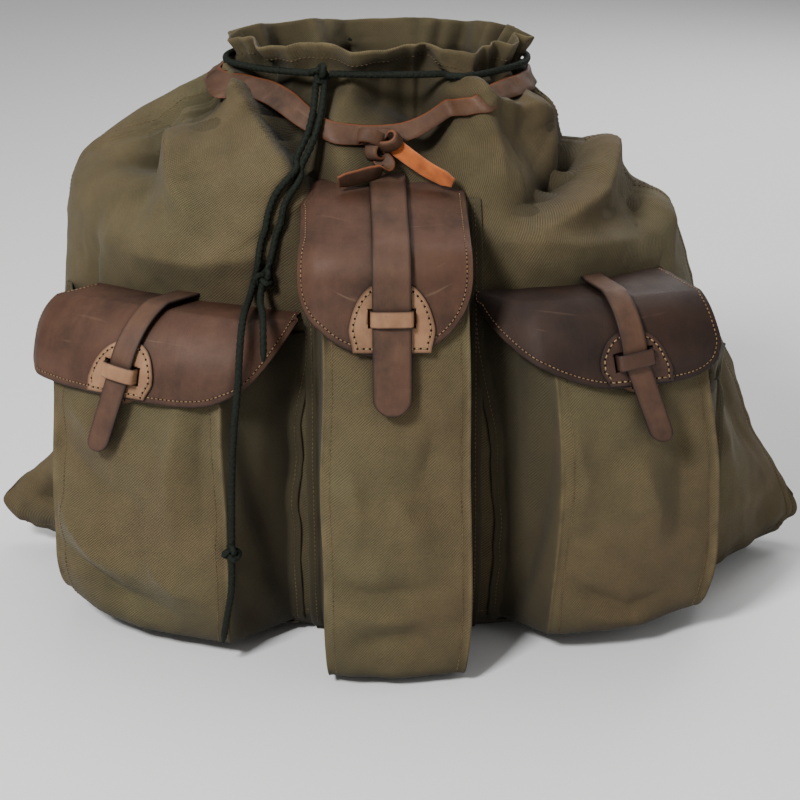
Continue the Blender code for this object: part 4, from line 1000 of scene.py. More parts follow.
def make_sack(mats):
    front_count = int(SACK_COLUMNS * FRONT_SHARE)
    front = np.linspace(-math.pi, 0, front_count, endpoint=False)
    back = np.linspace(0, math.pi, SACK_COLUMNS - front_count, endpoint=False)
    angles = np.concatenate([front, back])
    base = np.linspace(0, 1, 5)[:-1]
    levels = np.concatenate([base, even_levels(SACK_LEVELS)])
    grid, _ = sack_at(angles[None, :], levels[:, None])
    grid[..., 2] = np.maximum(grid[..., 2], 0.0)
    normal = wrapped_normals(grid)
    rows = len(levels)
    keep = np.unique(np.concatenate([np.arange(0, rows, INSIDE_STEP), np.arange(rows - 16, rows)]))
    inside = grid[keep] - normal[keep] * CANVAS
    inside[..., 2] = np.maximum(inside[..., 2], CANVAS)
    rim = grid[-1] - normal[-1] * CANVAS / 2 + np.array([0.0, 0.0, 0.0007])
    run = -lengths_along(grid[:, front_count // 2])
    turn_u = angles * SACK_AROUND
    points = [grid.reshape(-1, 3), rim, inside.reshape(-1, 3), [[0, 0, 0], [0, 0, CANVAS]]]
    uv = [
        np.stack(np.broadcast_arrays(turn_u[None, :], run[:, None]), axis=-1).reshape(-1, 2),
        np.stack([turn_u, np.full(SACK_COLUMNS, run[-1])], axis=-1),
        np.stack(np.broadcast_arrays(turn_u[None, :], run[keep][:, None]), axis=-1).reshape(-1, 2),
        [[0, 0], [0, 0]],
    ]
    outside_count = rows * SACK_COLUMNS
    first_inside = outside_count + SACK_COLUMNS
    inside_count = len(keep) * SACK_COLUMNS
    c = np.arange(SACK_COLUMNS)
    n = (c + 1) % SACK_COLUMNS
    last_out = outside_count - SACK_COLUMNS
    last_in = first_inside + inside_count - SACK_COLUMNS
    faces = [
        quads(rows, SACK_COLUMNS, wrap=True),
        np.stack([last_out + c, last_out + n, outside_count + n, outside_count + c], axis=1),
        np.stack([outside_count + c, outside_count + n, last_in + n, last_in + c], axis=1),
        quads(len(keep), SACK_COLUMNS, wrap=True, first=first_inside, flip=True),
    ]
    faces = np.concatenate(faces).tolist()
    pole = first_inside + inside_count
    for i in range(SACK_COLUMNS):
        j = (i + 1) % SACK_COLUMNS
        faces.append([pole, j, i])
        faces.append([pole + 1, first_inside + i, first_inside + j])
    z = np.concatenate([grid[..., 2].ravel(), rim[:, 2], inside[..., 2].ravel(), [0, 0]])
    edge = smooth_step((z - 0.424) / 0.004)
    side = np.abs(np.sin(angles / 2 + 0.05)) < 0.012
    edge[:outside_count] = np.maximum(edge[:outside_count], 0.5 * np.tile(side, rows))
    # The sack's inside painted darker, as the shade inside it.
    painted_shade = np.zeros(len(z))
    painted_shade[first_inside:] = 0.35
    points = np.concatenate([np.asarray(p, float) for p in points])
    uv = np.concatenate([np.asarray(p, float) for p in uv])
    obj = mesh_object("sack_cloth", points, faces, mats, uv, attributes={"edge": edge, "painted_shade": painted_shade})
    mend_wrap(obj, 2 * math.pi * SACK_AROUND)
    fix_normals(obj)
    dress(obj, "canvas", "sack")
    return Skin(grid)


class Skin:
    """The sack's outside, to seat other pieces on."""

    def __init__(self, grid):
        rows, cols = grid.shape[:2]
        points = [Vector(p) for p in grid.reshape(-1, 3)]
        self.tree = BVHTree.FromPolygons(points, quads(rows, cols, wrap=True).tolist())

    def nearest(self, point):
        place, normal, _, _ = self.tree.find_nearest(Vector(point))
        return np.array(place), np.array(normal)

    def height(self, point):
        """How far outside the sack a point is, or, negative, inside."""
        place, normal = self.nearest(point)
        return float((np.asarray(point) - place) @ normal)

    def hit(self, start, towards):
        """Where a ray from a point first meets the sack, or None."""
        place, _, _, _ = self.tree.ray_cast(Vector(start), Vector(towards))
        return None if place is None else np.array(place)


def sack_stitches(mats):
    """Stitching beside the side seams, above the base seam and round the hem."""
    lines = []
    up = even_levels(400)[12:]
    for at in SIDE_SEAMS:
        for beside in (-0.026, 0.026):
            lines.append(sack_at(np.full(up.shape, at + beside), up))
    turn = np.linspace(-math.pi, math.pi, 900)
    for z in (0.0235, 0.4165):
        level = level_at(z)
        lines.append(sack_at(turn, np.full(turn.shape, level)))
    stitches("sack_stitches", lines, SEAM_PITCH, mats, "canvas", holes=False)


# Pockets


SEWN_REACH = 12


def running_mean(values, reach):
    """Values averaged with those up to this many places away."""
    padded = np.pad(values, reach, mode="edge")
    width = 2 * reach + 1
    return np.convolve(padded, np.full(width, 1 / width), mode="valid")


class Front:
    """The front of one pocket: its directions, its panel and the flap that hangs over it."""

    def __init__(self, pocket, skin):
        self.pocket = pocket
        self.skin = skin
        self.name = pocket.name
        self.flap = FLAPS[pocket.name]
        self.patch = PATCHES[pocket.name]
        self.foot = FEET[pocket.name]
        self.outer = math.copysign(1.0, pocket.x)
        self.out = np.array([math.sin(pocket.yaw), -math.cos(pocket.yaw), 0.0])
        self.across = np.array([math.cos(pocket.yaw), math.sin(pocket.yaw), 0.0])
        self.root = np.array([pocket.x, float(front_y(pocket.x, pocket.brow_z / 2)), 0.0])
        self.top_z = pocket.brow_z - BEND_RADIUS
        self.tall = self.top_z - self.foot.floor
        self.radius = SOFT_BEND[pocket.name]
        self.ease = self.radius - BEND_RADIUS
        self.bend = self.radius * BEND_TURN - self.ease
        self.bend_z = pocket.brow_z - self.radius
        behind = float(front_y(pocket.x, pocket.seam_z)) - self.root[1]
        top_run = float(self.panel_out(0.0, self.bend_z)) - self.radius * (1 - math.cos(BEND_TURN))
        top_z = self.bend_z + self.radius * math.sin(BEND_TURN)
        self.rise = math.atan2(pocket.seam_z - top_z, top_run + behind)

    def at(self, x, out, z):
        """World points from a distance across, a distance out from the sack, and a height."""
        x, out, z = np.broadcast_arrays(x, out, z)
        level = np.multiply.outer(z, [0.0, 0.0, 1.0])
        return self.root + x[..., None] * self.across + out[..., None] * self.out + level

    def panel_out(self, x, z):
        share = np.clip((self.top_z - z) / self.tall, 0.0, 1.0)
        down = [row.down for row in POCKET_SHAPE[:-1]]
        row = np.interp(share, down, np.arange(len(down)))
        depth = self.pocket.depth * row_spline(POCKET_SHAPE, "depth", row) - self.lean(z)
        crown = 1 - (x / self.pocket.panel_half) ** 2
        past = np.clip((np.abs(x) - self.pocket.panel_half) / 0.03, 0.0, 2.0)
        return depth + self.pocket.bulge * np.maximum(crown, 0.0) - SIDE_FALL * past**1.4

    def lean(self, z):
        share = np.clip(z / self.top_z, 0.0, 1.0)
        return self.pocket.lean * share**2 - self.foot.forward * (1 - share) ** 3

    def droop(self, x):
        off = (x - self.flap.shift) / self.flap.half * math.copysign(1.0, self.pocket.x)
        return np.where(off > 0, self.flap.droop_out, self.flap.droop_in) * np.abs(off) ** 3

    def ease_in(self, z):
        """How far the soft bend has turned in from the panel at this height."""
        share = np.clip((z - self.bend_z) / self.radius, 0.0, 0.98)
        return self.radius * (1 - np.sqrt(1 - share**2))

    def surface(self, x, e):
        """The panel's outside carried on over the bend and back to the sack. e is the distance
        below the bend, or, negative, behind it."""
        x, e = np.broadcast_arrays(np.asarray(x, float), np.asarray(e, float) - self.ease)
        bend = self.radius * BEND_TURN
        front_z = self.bend_z - np.maximum(e, 0.0)
        out = self.panel_out(x, front_z)
        turn = np.clip(-e, 0.0, bend) / self.radius
        out = out - self.radius * (1 - np.cos(turn))
        z = front_z + self.radius * np.sin(turn)
        back = np.maximum(-e - bend, 0.0)
        out = out - back * math.cos(self.rise)
        z = z + back * math.sin(self.rise)
        return self.at(x, out, z - self.droop(x))

    def normal(self, x, e):
        step = 5e-4
        across = self.surface(x + step, e) - self.surface(x - step, e)
        along = self.surface(x, e + step) - self.surface(x, e - step)
        return unit(np.cross(across, -along))

    def lifted(self, x, e, lift):
        return self.surface(x, e) + self.normal(x, e) * np.asarray(lift)[..., None]

    def tuck(self, x):
        share_out = np.clip(self.outer * x / self.flap.half, 0.0, 1.0) ** 2
        share_in = np.clip(-self.outer * x / self.flap.half, 0.0, 1.0) ** 2
        return self.outer * (self.flap.tuck_out * share_out - self.flap.tuck_in * share_in)

    def sewn_e(self, x, lift):
        """The e, behind the bend, at which a layer with this lift has just gone into the sack."""
        bend = self.bend
        runs = np.linspace(0, LONGEST_TOP, 53)
        found = []
        for at, tuck in zip(np.ravel(x), np.ravel(self.tuck(x))):
            line = self.lifted(np.full(runs.shape, at - tuck), -bend - runs, np.full(runs.shape, lift))
            heights = [self.skin.height(p) for p in line]
            inside = [i for i, h in enumerate(heights) if h < -0.0004]
            i = inside[0] if inside else len(runs) - 1
            found.append(runs[i])
        found = np.array(found)
        if len(found) > 2 * SEWN_REACH:
            found = running_mean(running_mean(found, SEWN_REACH), SEWN_REACH)
        return -(bend + found + FLAP_SINK)

    def strap_x(self, e):
        below = np.asarray(e, float) - self.patch.loop_at
        slant = np.where(below > 0, self.flap.slant, self.flap.up_slant)
        return self.flap.strap_x + slant * below


def side_y(x, z, side):
    """Where the plain sack's front, with side -1, or back, with 1, is at this x and height."""
    x, z = np.broadcast_arrays(np.asarray(x, float), np.asarray(z, float))
    level = level_at(z)
    half = np.where(x > 0, row_spline(SACK, "right", level), row_spline(SACK, "left", level))
    c = np.clip(np.abs(x) / half, 0, 0.999) ** (1 / FACE_FLATNESS)
    return plain_sack(side * np.arccos(np.sign(x) * c), level)[..., 1]


def front_y(x, z):
    return side_y(x, z, -1)


def back_y(x, z):
    return side_y(x, z, 1)


# How far each panel's edges stray from straight, at five places down: inward is positive
EDGE_STRAY = {
    "centre": {"left": (0.000, 0.001, -0.001, 0.001, 0.000), "right": (0.001, 0.000, 0.001, 0.000, 0.002)},
    "left": {"left": (0.004, 0.008, 0.007, 0.008, 0.006), "right": (0.003, 0.004, 0.001, -0.001, -0.002)},
    "right": {"left": (0.003, 0.010, 0.014, 0.010, 0.002), "right": (0.010, 0.002, -0.005, -0.006, 0.000)},
}
POCKET_LEVELS = 96
PANEL_COLUMNS = 64
GUSSET_COLUMNS = 26
FLANGE_COLUMNS = 6
FLANGE = 0.009


def pocket_rows(front):
    """(down, share of the depth, x of the panel's points, z, half at the sack) of each row."""
    pocket = front.pocket
    even = np.linspace(0, len(POCKET_SHAPE) - 1, 900)
    run = np.cumsum(
        np.hypot(
            np.gradient(row_spline(POCKET_SHAPE, "down", even)) * front.tall,
            np.gradient(row_spline(POCKET_SHAPE, "depth", even)) * pocket.depth,
        )
    )
    made = []
    for row in np.interp(np.linspace(run[0], run[-1], POCKET_LEVELS), run, even):
        down = float(row_spline(POCKET_SHAPE, "down", row))
        share = float(row_spline(POCKET_SHAPE, "depth", row))
        half = pocket.panel_half * float(row_spline(POCKET_SHAPE, "panel", row))
        seam_half = pocket.seam_half * float(row_spline(POCKET_SHAPE, "seam", row))
        places = np.linspace(0, 1, 5)
        left = -half + spline(down, places, EDGE_STRAY[front.name]["left"])
        right = half - spline(down, places, EDGE_STRAY[front.name]["right"])
        x = np.linspace(float(left), float(right), PANEL_COLUMNS)
        z = front.top_z - down * front.tall
        made.append((down, share, x, z, seam_half))
    return made


def panel_relief(front, x, z, down):
    """Slack, dents and creases of a pocket's panel, out from its plain shape."""
    seed = {"centre": 101, "left": 202, "right": 303}[front.name]
    height = 0.0030 * crumple(x, z, seed, 0.040) + 0.0010 * crumple(x, z, seed + 5, 0.015)
    height = height + 0.0030 * lattice_noise(x / 0.05, z / 0.08, seed + 9) * smooth_step(down * 3)
    return height + side_folds(PANEL_FOLDS[front.name], x, z)


# Folds of the panels, as lines through (x, z) points on the panel
PANEL_FOLDS = {
    "centre": [
        FoldLine(-0.006, 0.007, 0.010, [(-0.058, 0.084), (-0.020, 0.068), (0.024, 0.074), (0.056, 0.090)]),
        FoldLine(0.006, 0.010, 0.008, [(-0.056, 0.062), (0.000, 0.054), (0.050, 0.060)]),
        FoldLine(-0.005, 0.010, 0.008, [(-0.040, 0.034), (0.010, 0.040), (0.046, 0.026)]),
        FoldLine(0.005, 0.010, 0.014, [(-0.040, 0.190), (-0.026, 0.130), (-0.034, 0.080)]),
        FoldLine(-0.004, 0.010, 0.012, [(0.030, 0.210), (0.020, 0.150), (0.034, 0.100)]),
        FoldLine(0.004, 0.008, 0.014, [(-0.010, 0.150), (0.016, 0.120), (0.044, 0.108)]),
    ],
    "left": [
        FoldLine(-0.005, 0.008, 0.010, [(0.064, 0.230), (0.056, 0.160), (0.062, 0.060)]),
        FoldLine(0.005, 0.012, 0.008, [(0.044, 0.220), (0.034, 0.140), (0.044, 0.070)]),
        FoldLine(0.006, 0.010, 0.014, [(-0.074, 0.110), (-0.030, 0.070), (0.030, 0.050)]),
        FoldLine(-0.007, 0.008, 0.010, [(-0.070, 0.070), (-0.010, 0.040), (0.056, 0.034)]),
        FoldLine(0.004, 0.012, 0.016, [(-0.060, 0.200), (-0.030, 0.160), (0.020, 0.150)]),
        FoldLine(-0.004, 0.012, 0.012, [(-0.070, 0.150), (-0.020, 0.120), (0.030, 0.118)]),
        FoldLine(0.005, 0.008, 0.008, [(0.010, 0.080), (0.040, 0.054), (0.068, 0.050)]),
    ],
    "right": [
        FoldLine(0.004, 0.010, 0.014, [(-0.050, 0.210), (-0.036, 0.140), (-0.046, 0.070)]),
        FoldLine(-0.005, 0.010, 0.012, [(0.030, 0.210), (0.044, 0.140), (0.036, 0.070)]),
        FoldLine(0.005, 0.010, 0.012, [(0.000, 0.170), (0.022, 0.110), (0.014, 0.060)]),
        FoldLine(-0.006, 0.008, 0.010, [(-0.056, 0.062), (0.000, 0.036), (0.056, 0.050)]),
        FoldLine(0.004, 0.010, 0.010, [(-0.050, 0.040), (0.010, 0.022), (0.050, 0.030)]),
    ],
}


def pocket_grid(front):
    """Points of a pocket's outside, from flange to flange across."""
    pocket = front.pocket
    grid = []
    for down, share, x, z, seam_half in pocket_rows(front):
        middle = (x - (x[0] + x[-1]) / 2) / ((x[-1] - x[0]) / 2)
        out = pocket.depth * share + pocket.bulge * min(1.0, share) * (1 - middle**2)
        out = out - POCKET_UNDER * max(1 - share, 0.0) ** 2 - front.lean(z) * min(1.0, share)
        out = out - front.ease_in(z)
        calm = smooth_step((1 - np.abs(middle)) / 0.12) * min(1.0, share)
        out = out + calm * panel_relief(front, x, z, down)
        ridge = np.exp(-(((1 - np.abs(middle)) * (x[-1] - x[0]) / 2 / 0.0016) ** 2))
        out = out + 0.0020 * ridge * min(1.0, share)
        outer_share = np.clip(x / max(abs(x[0]), abs(x[-1])) * front.outer, 0.0, 1.0)
        heel = front.foot.heel * smooth_step((down - 0.4) / 0.6)
        panel = front.at(x, out, z + heel * outer_share**2)
        rise = (pocket.seam_z - pocket.brow_z + GUSSET_RISE) * float(smooth_step(1 - 4 * down))
        line = []
        for side, edge in ((-1, panel[0]), (1, panel[-1])):
            end_heel = heel * (side * pocket.x > 0)
            goal = front.at(side * seam_half, -0.030, z + rise + end_heel)
            hit = front.skin.hit(edge, goal - edge)
            seam = front.at(side * seam_half, -0.010, z + rise + end_heel) if hit is None else hit
            line.append(seam)
        grid.append((down, panel, line))
    rows = []
    for down, panel, (left_seam, right_seam) in grid:
        steps = np.linspace(0, 1, GUSSET_COLUMNS + 1)[:-1]
        parts = []
        for side, seam, edge in ((-1, left_seam, panel[0]), (1, right_seam, panel[-1])):
            place, normal = front.skin.nearest(seam)
            seam = place + normal * 0.0010
            wave = 0.0030 * np.sin(2.2 * math.pi * steps + 9 * down + side)
            sag = (GUSSET_SAG * np.sin(math.pi * steps) + wave * np.sin(math.pi * steps))
            sag = sag * float(smooth_step(8 * (1 - down)))
            gusset = seam + (edge - seam) * steps[:, None] - side * sag[:, None] * front.across
            flange = []
            for reach in np.linspace(FLANGE, 0.0012, FLANGE_COLUMNS):
                place, normal = front.skin.nearest(seam + side * reach * front.across)
                flange.append(place + normal * (0.0018 + 0.0004 * math.sin(40 * down)))
            parts.append(np.concatenate([np.array(flange), gusset]))
        rows.append(np.concatenate([parts[0], panel, parts[1][::-1]]))
    return np.array(rows)


def make_pocket(front, canvas, thread):
    grid = pocket_grid(front)
    normal = grid_normals(grid)
    rows, cols = grid.shape[:2]
    first = FLANGE_COLUMNS + GUSSET_COLUMNS
    column = np.arange(cols)
    gusset = (column < first) | (column >= cols - first)
    # The gussets painted darker, as the shade between and under the pockets.
    painted_shade = np.broadcast_to(np.where(gusset, 0.55, 0.0), (rows, cols))
    obj = thick_sheet(
        f"pocket_{front.name}_cloth", grid, normal, CANVAS, canvas, 0.002, {"painted_shade": painted_shade}, even=True
    )
    worn = np.exp(-(((column - first) / 1.6) ** 2)) + np.exp(-(((column - cols + first + 1) / 1.6) ** 2))
    add_edge_wear(obj, np.broadcast_to(worn, (rows, cols)).ravel())
    dress(obj, "canvas", f"pocket_{front.name}")
    lines = []
    down_rows = slice(0, int(rows * 0.86))
    for c in (first + 4, cols - first - 5, 3, cols - 4):
        lines.append((grid[down_rows, c], normal[down_rows, c]))
    stitches(f"pocket_{front.name}_stitches", lines, SEAM_PITCH, thread, "canvas", holes=False)


def add_edge_wear(obj, values):
    """Raises the edge mark on the first points of a piece."""
    layer = obj.data.attributes["edge"].data
    now = np.empty(len(layer), np.float32)
    layer.foreach_get("value", now)
    now[: len(values)] = np.maximum(now[: len(values)], values)
    layer.foreach_set("value", now)


# Flaps, and what is sewn and threaded on them


def settle(skin, points, lift):
    """Points moved, where they are lower, to this height over the sack."""
    flat = points.reshape(-1, 3).copy()
    for i, point in enumerate(flat):
        place, normal = skin.nearest(point)
        if (point - place) @ normal < lift:
            flat[i] = place + normal * lift
    return flat.reshape(points.shape)


def hem(front, x):
    """How far below the bend the flap's hem is at this x."""
    flap = front.flap
    share = np.clip((x - flap.shift) / flap.half, -1.0, 1.0)
    made = []
    for end, power, root in HEMS[front.name]:
        curve = (1 - np.abs(share) ** power) ** root
        made.append(end + (flap.drop - end) * curve)
    return np.where(share < 0, made[0], made[1])


def layer(front, name, x, e, lift, thickness, mats, rest, rub=0.7):
    """A sheet over the pocket's front on grids of x and e. rest is its height over the sack."""
    outer = front.lifted(x, e, np.full(x.shape, lift + thickness))
    behind = smooth_step((e - e[:1]) / SETTLE_FADE)[..., None]
    settled = settle(front.skin, outer, rest + thickness)
    outer = outer + (settled - outer) * (behind if rest else 1.0)
    normal = grid_normals(outer)
    from_end = np.minimum(np.abs(x - x[:, :1]), np.abs(x - x[:, -1:]))
    at_end = np.exp(-((from_end / END_BLEND) ** 2))[..., None]
    normal = unit(normal + (front.normal(x, e) - normal) * at_end)
    bend = rub * np.exp(-(((e + 0.006) / 0.012) ** 2))
    obj = thick_sheet(name, outer, normal, thickness, mats, extra={"bend": bend})
    return obj, outer


def slot_box(front, mat):
    """A cutter for the slot that a keeper comes through."""
    place, across, down, out = loop_frame(front)
    half = loop_half(front) + LOOP_LEATHER + 0.0016
    tall = LOOP_TALL / 2 + 0.0014
    points, faces = [], []
    for side in (-1, 1):
        for u, v in ((-1, -1), (1, -1), (1, 1), (-1, 1)):
            points.append(place + u * half * across + v * tall * down + (0.005 + side * 0.0045) * out)
    faces = [[3, 2, 1, 0], [4, 5, 6, 7]]
    faces += [[i, (i + 1) % 4, 4 + (i + 1) % 4, 4 + i] for i in range(4)]
    obj = mesh_object(f"slot_{front.name}", points, faces, mat, smooth=False)
    fix_normals(obj)
    return obj


def cut(obj, cutter):
    """Takes the cutter out of a piece."""
    modifier = obj.modifiers.new("cut", "BOOLEAN")
    modifier.operation = "DIFFERENCE"
    modifier.solver = "EXACT"
    modifier.object = cutter
    graph = bpy.context.evaluated_depsgraph_get()
    made = bpy.data.meshes.new_from_object(obj.evaluated_get(graph), depsgraph=graph)
    obj.modifiers.clear()
    obj.data = made


def outline_line(grid, inset, skip):
    """A line on a grid's surface a little inside its two sides and its last row."""
    rows, cols = grid.shape[:2]
    border = np.concatenate([grid[skip:, 0], grid[-1, 1:-1], grid[skip:, -1][::-1]])
    border, _, _ = resample(border, 0.0012)
    tree = BVHTree.FromPolygons([Vector(p) for p in grid.reshape(-1, 3)], quads(rows, cols).tolist())
    middle = grid[rows // 2, cols // 2]
    normal = np.array([tree.find_nearest(Vector(p))[1] for p in border])
    inward = unit(np.cross(normal, np.gradient(border, axis=0)))
    if np.sum(inward * (middle - border)) < 0:
        inward = -inward
    moved = border + inward * inset
    away = np.linalg.norm(moved[:, None] - border[None], axis=2).min(axis=1)
    moved = smoothed(moved[away > 0.96 * inset], 4)
    on_it = [tree.find_nearest(Vector(p)) for p in moved]
    out = np.sign(np.sum([hit[1][1] for hit in on_it])) * -1.0
    return np.array([hit[0] for hit in on_it]), out * np.array([hit[1] for hit in on_it])


def smoothed(points, reach):
    return np.stack([running_mean(points[:, k], reach) for k in range(3)], axis=1)


def make_flap(front, mats, thread, slot):
    flap = front.flap
    turn = np.linspace(-math.pi / 2, math.pi / 2, FLAP_COLUMNS)
    x = flap.shift + flap.half * np.sin(turn)
    sewn = front.sewn_e(x, FLAP_LIFT + FLAP_LEATHER)
    low = np.maximum(hem(front, x), sewn + 0.002)
    e = sewn + (low - sewn) * np.linspace(0, 1, FLAP_ROWS)[:, None]
    drawn_in = np.clip((e - TUCK_END) / (sewn - TUCK_END), 0.0, 1.0)
    x = x - front.tuck(x) * drawn_in
    name = f"flap_{front.name}"
    obj, outer = layer(front, name + "_leather", x, e, FLAP_LIFT, FLAP_LEATHER, mats, 0.0006)
    cut(obj, slot)
    dress(obj, "flap_leather", name)
    lines = [outline_line(outer, STITCH_INSET, 5)]
    stitches(name + "_stitches", lines, FLAP_PITCH, thread, "flap_leather")


def front_line(front, x, e, lift):
    """(points, normals) of a line on a layer of the front."""
    return front.lifted(x, e, np.full(np.shape(x), lift)), front.normal(x, e)


def patch_outline(front, turn, inset=0.0):
    """(e, half) of the egg patch from its top, 0, to its foot, 1."""
    patch = front.patch
    up = 1 - turn**1.4
    tall = patch.bottom - patch.top - 2 * inset
    e = patch.bottom - inset - tall * up
    foot = PATCH_FOOT + (1 - PATCH_FOOT) * smooth_step(up / 0.35)
    return e, (patch.half - inset) * foot * (1 - up**PATCH_CURVE) ** (1 / PATCH_CURVE)


def patch_stitches(name, line, thread):
    """The longer, thicker stitches of a patch."""
    size = (PATCH_STITCH_LENGTH, PATCH_STITCH_RADIUS)
    stitches(name + "_stitches", [line], PATCH_PITCH, thread, "tan_leather", *size)


def make_patch(front, mats, thread, slot):
    e, half = patch_outline(front, np.linspace(0.03, 1, 44))
    across = np.sin(np.linspace(-math.pi / 2, math.pi / 2, 40))
    x = front.strap_x(e)[:, None] + half[:, None] * across
    grid = np.broadcast_to(e[:, None], x.shape)
    name = f"flap_patch_{front.name}"
    obj, _ = layer(front, name + "_leather", x, grid, PATCH_LIFT, TRIM_LEATHER, mats, 0.0, 0.3)
    cut(obj, slot)
    dress(obj, "tan_leather", name)
    e, half = patch_outline(front, np.linspace(0.01, 1, 160) ** 1.4, 0.0030)
    left = front.strap_x(e) - half
    right = front.strap_x(e) + half
    foot_x = np.linspace(left[-1], right[-1], 60)
    x = np.concatenate([left, foot_x[1:-1], right[::-1]])
    e = np.concatenate([e, np.full(58, e[-1]), e[::-1]])
    line = front_line(front, x, e, PATCH_LIFT + TRIM_LEATHER)
    patch_stitches(name, line, thread)


def make_pocket_patch(front, mats, thread):
    loop_at = front.patch.loop_at
    tall = POCKET_PATCH_BELOW + POCKET_PATCH_ABOVE
    share = np.sin(np.linspace(0, math.pi / 2, 40))
    e = loop_at - POCKET_PATCH_ABOVE + tall * share
    across = np.sin(np.linspace(-math.pi / 2, math.pi / 2, 30))

    def half_at(e, inset=0.0):
        down = np.clip((e - loop_at) / (POCKET_PATCH_BELOW - inset), 0.0, 0.995)
        return (POCKET_PATCH_HALF - inset) * (1 - down**2.2) ** (1 / 2.2)

    x = front.strap_x(e)[:, None] + half_at(e)[:, None] * across
    name = f"pocket_patch_{front.name}"
    grid = np.broadcast_to(e[:, None], x.shape)
    obj, _ = layer(front, name + "_leather", x, grid, POCKET_PATCH_LIFT, TRIM_LEATHER, mats, 0.0, 0.0)
    dress(obj, "tan_leather", name)
    e = loop_at - POCKET_PATCH_ABOVE + (tall - 0.003) * np.sin(np.linspace(0, math.pi / 2, 200))
    half = half_at(e, 0.003)
    x = np.concatenate([front.strap_x(e) - half, (front.strap_x(e) + half)[::-1]])
    line = front_line(front, x, np.concatenate([e, e[::-1]]), POCKET_PATCH_LIFT + TRIM_LEATHER)
    patch_stitches(name, line, thread)


def make_strap(front, mats):
    flap = front.flap
    tip = flap.strap_half
    sewn = float(front.sewn_e(np.array([flap.strap_x]), STRAP_LIFT + STRAP_LEATHER)[0])
    e_down = np.linspace(sewn, flap.tongue - tip, 100)
    e_tip = flap.tongue - tip + tip * np.sin(np.linspace(0.1, 0.985, 14) * math.pi / 2)
    e = np.concatenate([e_down, e_tip])[:, None]
    near = np.clip((e - (flap.tongue - tip)) / tip, 0.0, 1.0)
    x = front.strap_x(e) + np.sqrt(1 - near**2) * flap.strap_half * np.linspace(-1, 1, 15)
    e = np.broadcast_to(e, x.shape)
    name = f"closure_strap_{front.name}"
    obj, _ = layer(front, name + "_leather", x, e, STRAP_LIFT, STRAP_LEATHER, mats, 0.0036, 0.8)
    dress(obj, "flap_leather", name)


def loop_half(front):
    """Half a keeper's opening, with room for the strap to pass through at a slant."""
    return front.flap.strap_half + LOOP_CLEAR + LOOP_SLANT_ROOM * abs(front.flap.slant)


def loop_frame(front):
    """(place, across, down, out) at the middle of a flap's loop, on the panel."""
    e = front.patch.loop_at
    x = float(front.strap_x(e))
    place = front.surface(x, e)
    slanted = front.surface(x + LOOP_TILT * front.flap.slant * 1e-3, e + 1e-3) - place
    down = slanted / np.linalg.norm(slanted)
    out = front.normal(x, e)
    across = np.cross(down, -out)
    return place, across / np.linalg.norm(across), down, out


def make_loop(front, mats):
    """An arch of leather over the strap, whose feet come through the slot."""
    place, across, down, out = loop_frame(front)
    half = loop_half(front) + LOOP_LEATHER
    foot = POCKET_PATCH_LIFT + TRIM_LEATHER + 0.0003
    top = LOOP_LIFT + LOOP_LEATHER
    corner = 0.0032
    arc = np.linspace(0, math.pi / 2, 10)
    left = [(-half, foot), (-half, (foot + top) / 2)]
    left += [(-half + corner * (1 - math.cos(a)), top - corner + corner * math.sin(a)) for a in arc]
    rise = 0.0010
    across_top = np.linspace(-half + corner, half - corner, 16)[1:-1]
    middle = [(u, top + rise * (1 - (u / half) ** 2)) for u in across_top]
    profile = np.array(left + middle + [(-u, v) for u, v in left[::-1]])
    rows = []
    for share in np.linspace(1, -1, 12):
        swell = 0.0004 * (1 - share**2)
        line = place + (profile[:, :1] * across + (profile[:, 1:] + swell) * out)
        rows.append(line - share * LOOP_TALL / 2 * down)
    grid = np.array(rows)
    normal = grid_normals(grid)
    name = f"strap_loop_{front.name}"
    obj = thick_sheet(name + "_leather", grid, normal, LOOP_LEATHER, mats, 0.0012)
    dress(obj, "tan_leather", name)


# Cords, knots and ribbons


def frames_along(tangents, start):
    """(side, up) at each point, turned as little as can be along the line."""
    side = unit(np.cross(tangents[0], start))
    sides = []
    for tangent in tangents:
        side = unit(side - tangent * (side @ tangent))
        sides.append(side)
    sides = np.array(sides)
    return sides, np.cross(tangents, sides)


def tube(name, points, radii, mats, twist=None, closed=False):
    """A round tube. twist gives each ring's turn of the braid, and so its ribs."""
    points = np.asarray(points)
    if closed:
        tangents = unit(np.roll(points, -1, axis=0) - np.roll(points, 1, axis=0))
    else:
        tangents = unit(np.gradient(points, axis=0))
    sides, ups = frames_along(tangents, (0.31, 0.87, 0.38))
    turn = np.linspace(0, 2 * math.pi, TUBE_SIDES, endpoint=False)
    ring = np.ones((len(points), TUBE_SIDES))
    if twist is not None:
        rib = np.maximum(np.cos(twist[:, None] + 3 * turn), np.cos(twist[:, None] - 3 * turn))
        ring = ring + BRAID_RELIEF * (rib - 0.5)
    reach = (np.asarray(radii)[:, None] * ring)[..., None]
    around = np.cos(turn)[:, None] * sides[:, None, :] + np.sin(turn)[:, None] * ups[:, None, :]
    grid = points[:, None, :] + reach * around
    rows = len(points)
    far = lengths_along(points)
    u, v = np.meshgrid(turn * CORD_RADIUS, far)
    uv = np.stack([u, v], axis=-1).reshape(-1, 2)
    places = grid.reshape(-1, 3)
    faces = quads(rows, TUBE_SIDES, wrap=True).tolist()
    if closed:
        last = (rows - 1) * TUBE_SIDES
        shift = ring_shift(sides[-1], ups[-1], sides[0])
        for k in range(TUBE_SIDES):
            n = (k + 1) % TUBE_SIDES
            faces.append([last + k, last + n, (n + shift) % TUBE_SIDES, (k + shift) % TUBE_SIDES])
    else:
        faces.append(list(range(TUBE_SIDES - 1, -1, -1)))
        faces.append([(rows - 1) * TUBE_SIDES + k for k in range(TUBE_SIDES)])
    obj = mesh_object(name, places, faces, mats, uv)
    fix_normals(obj)
    return obj


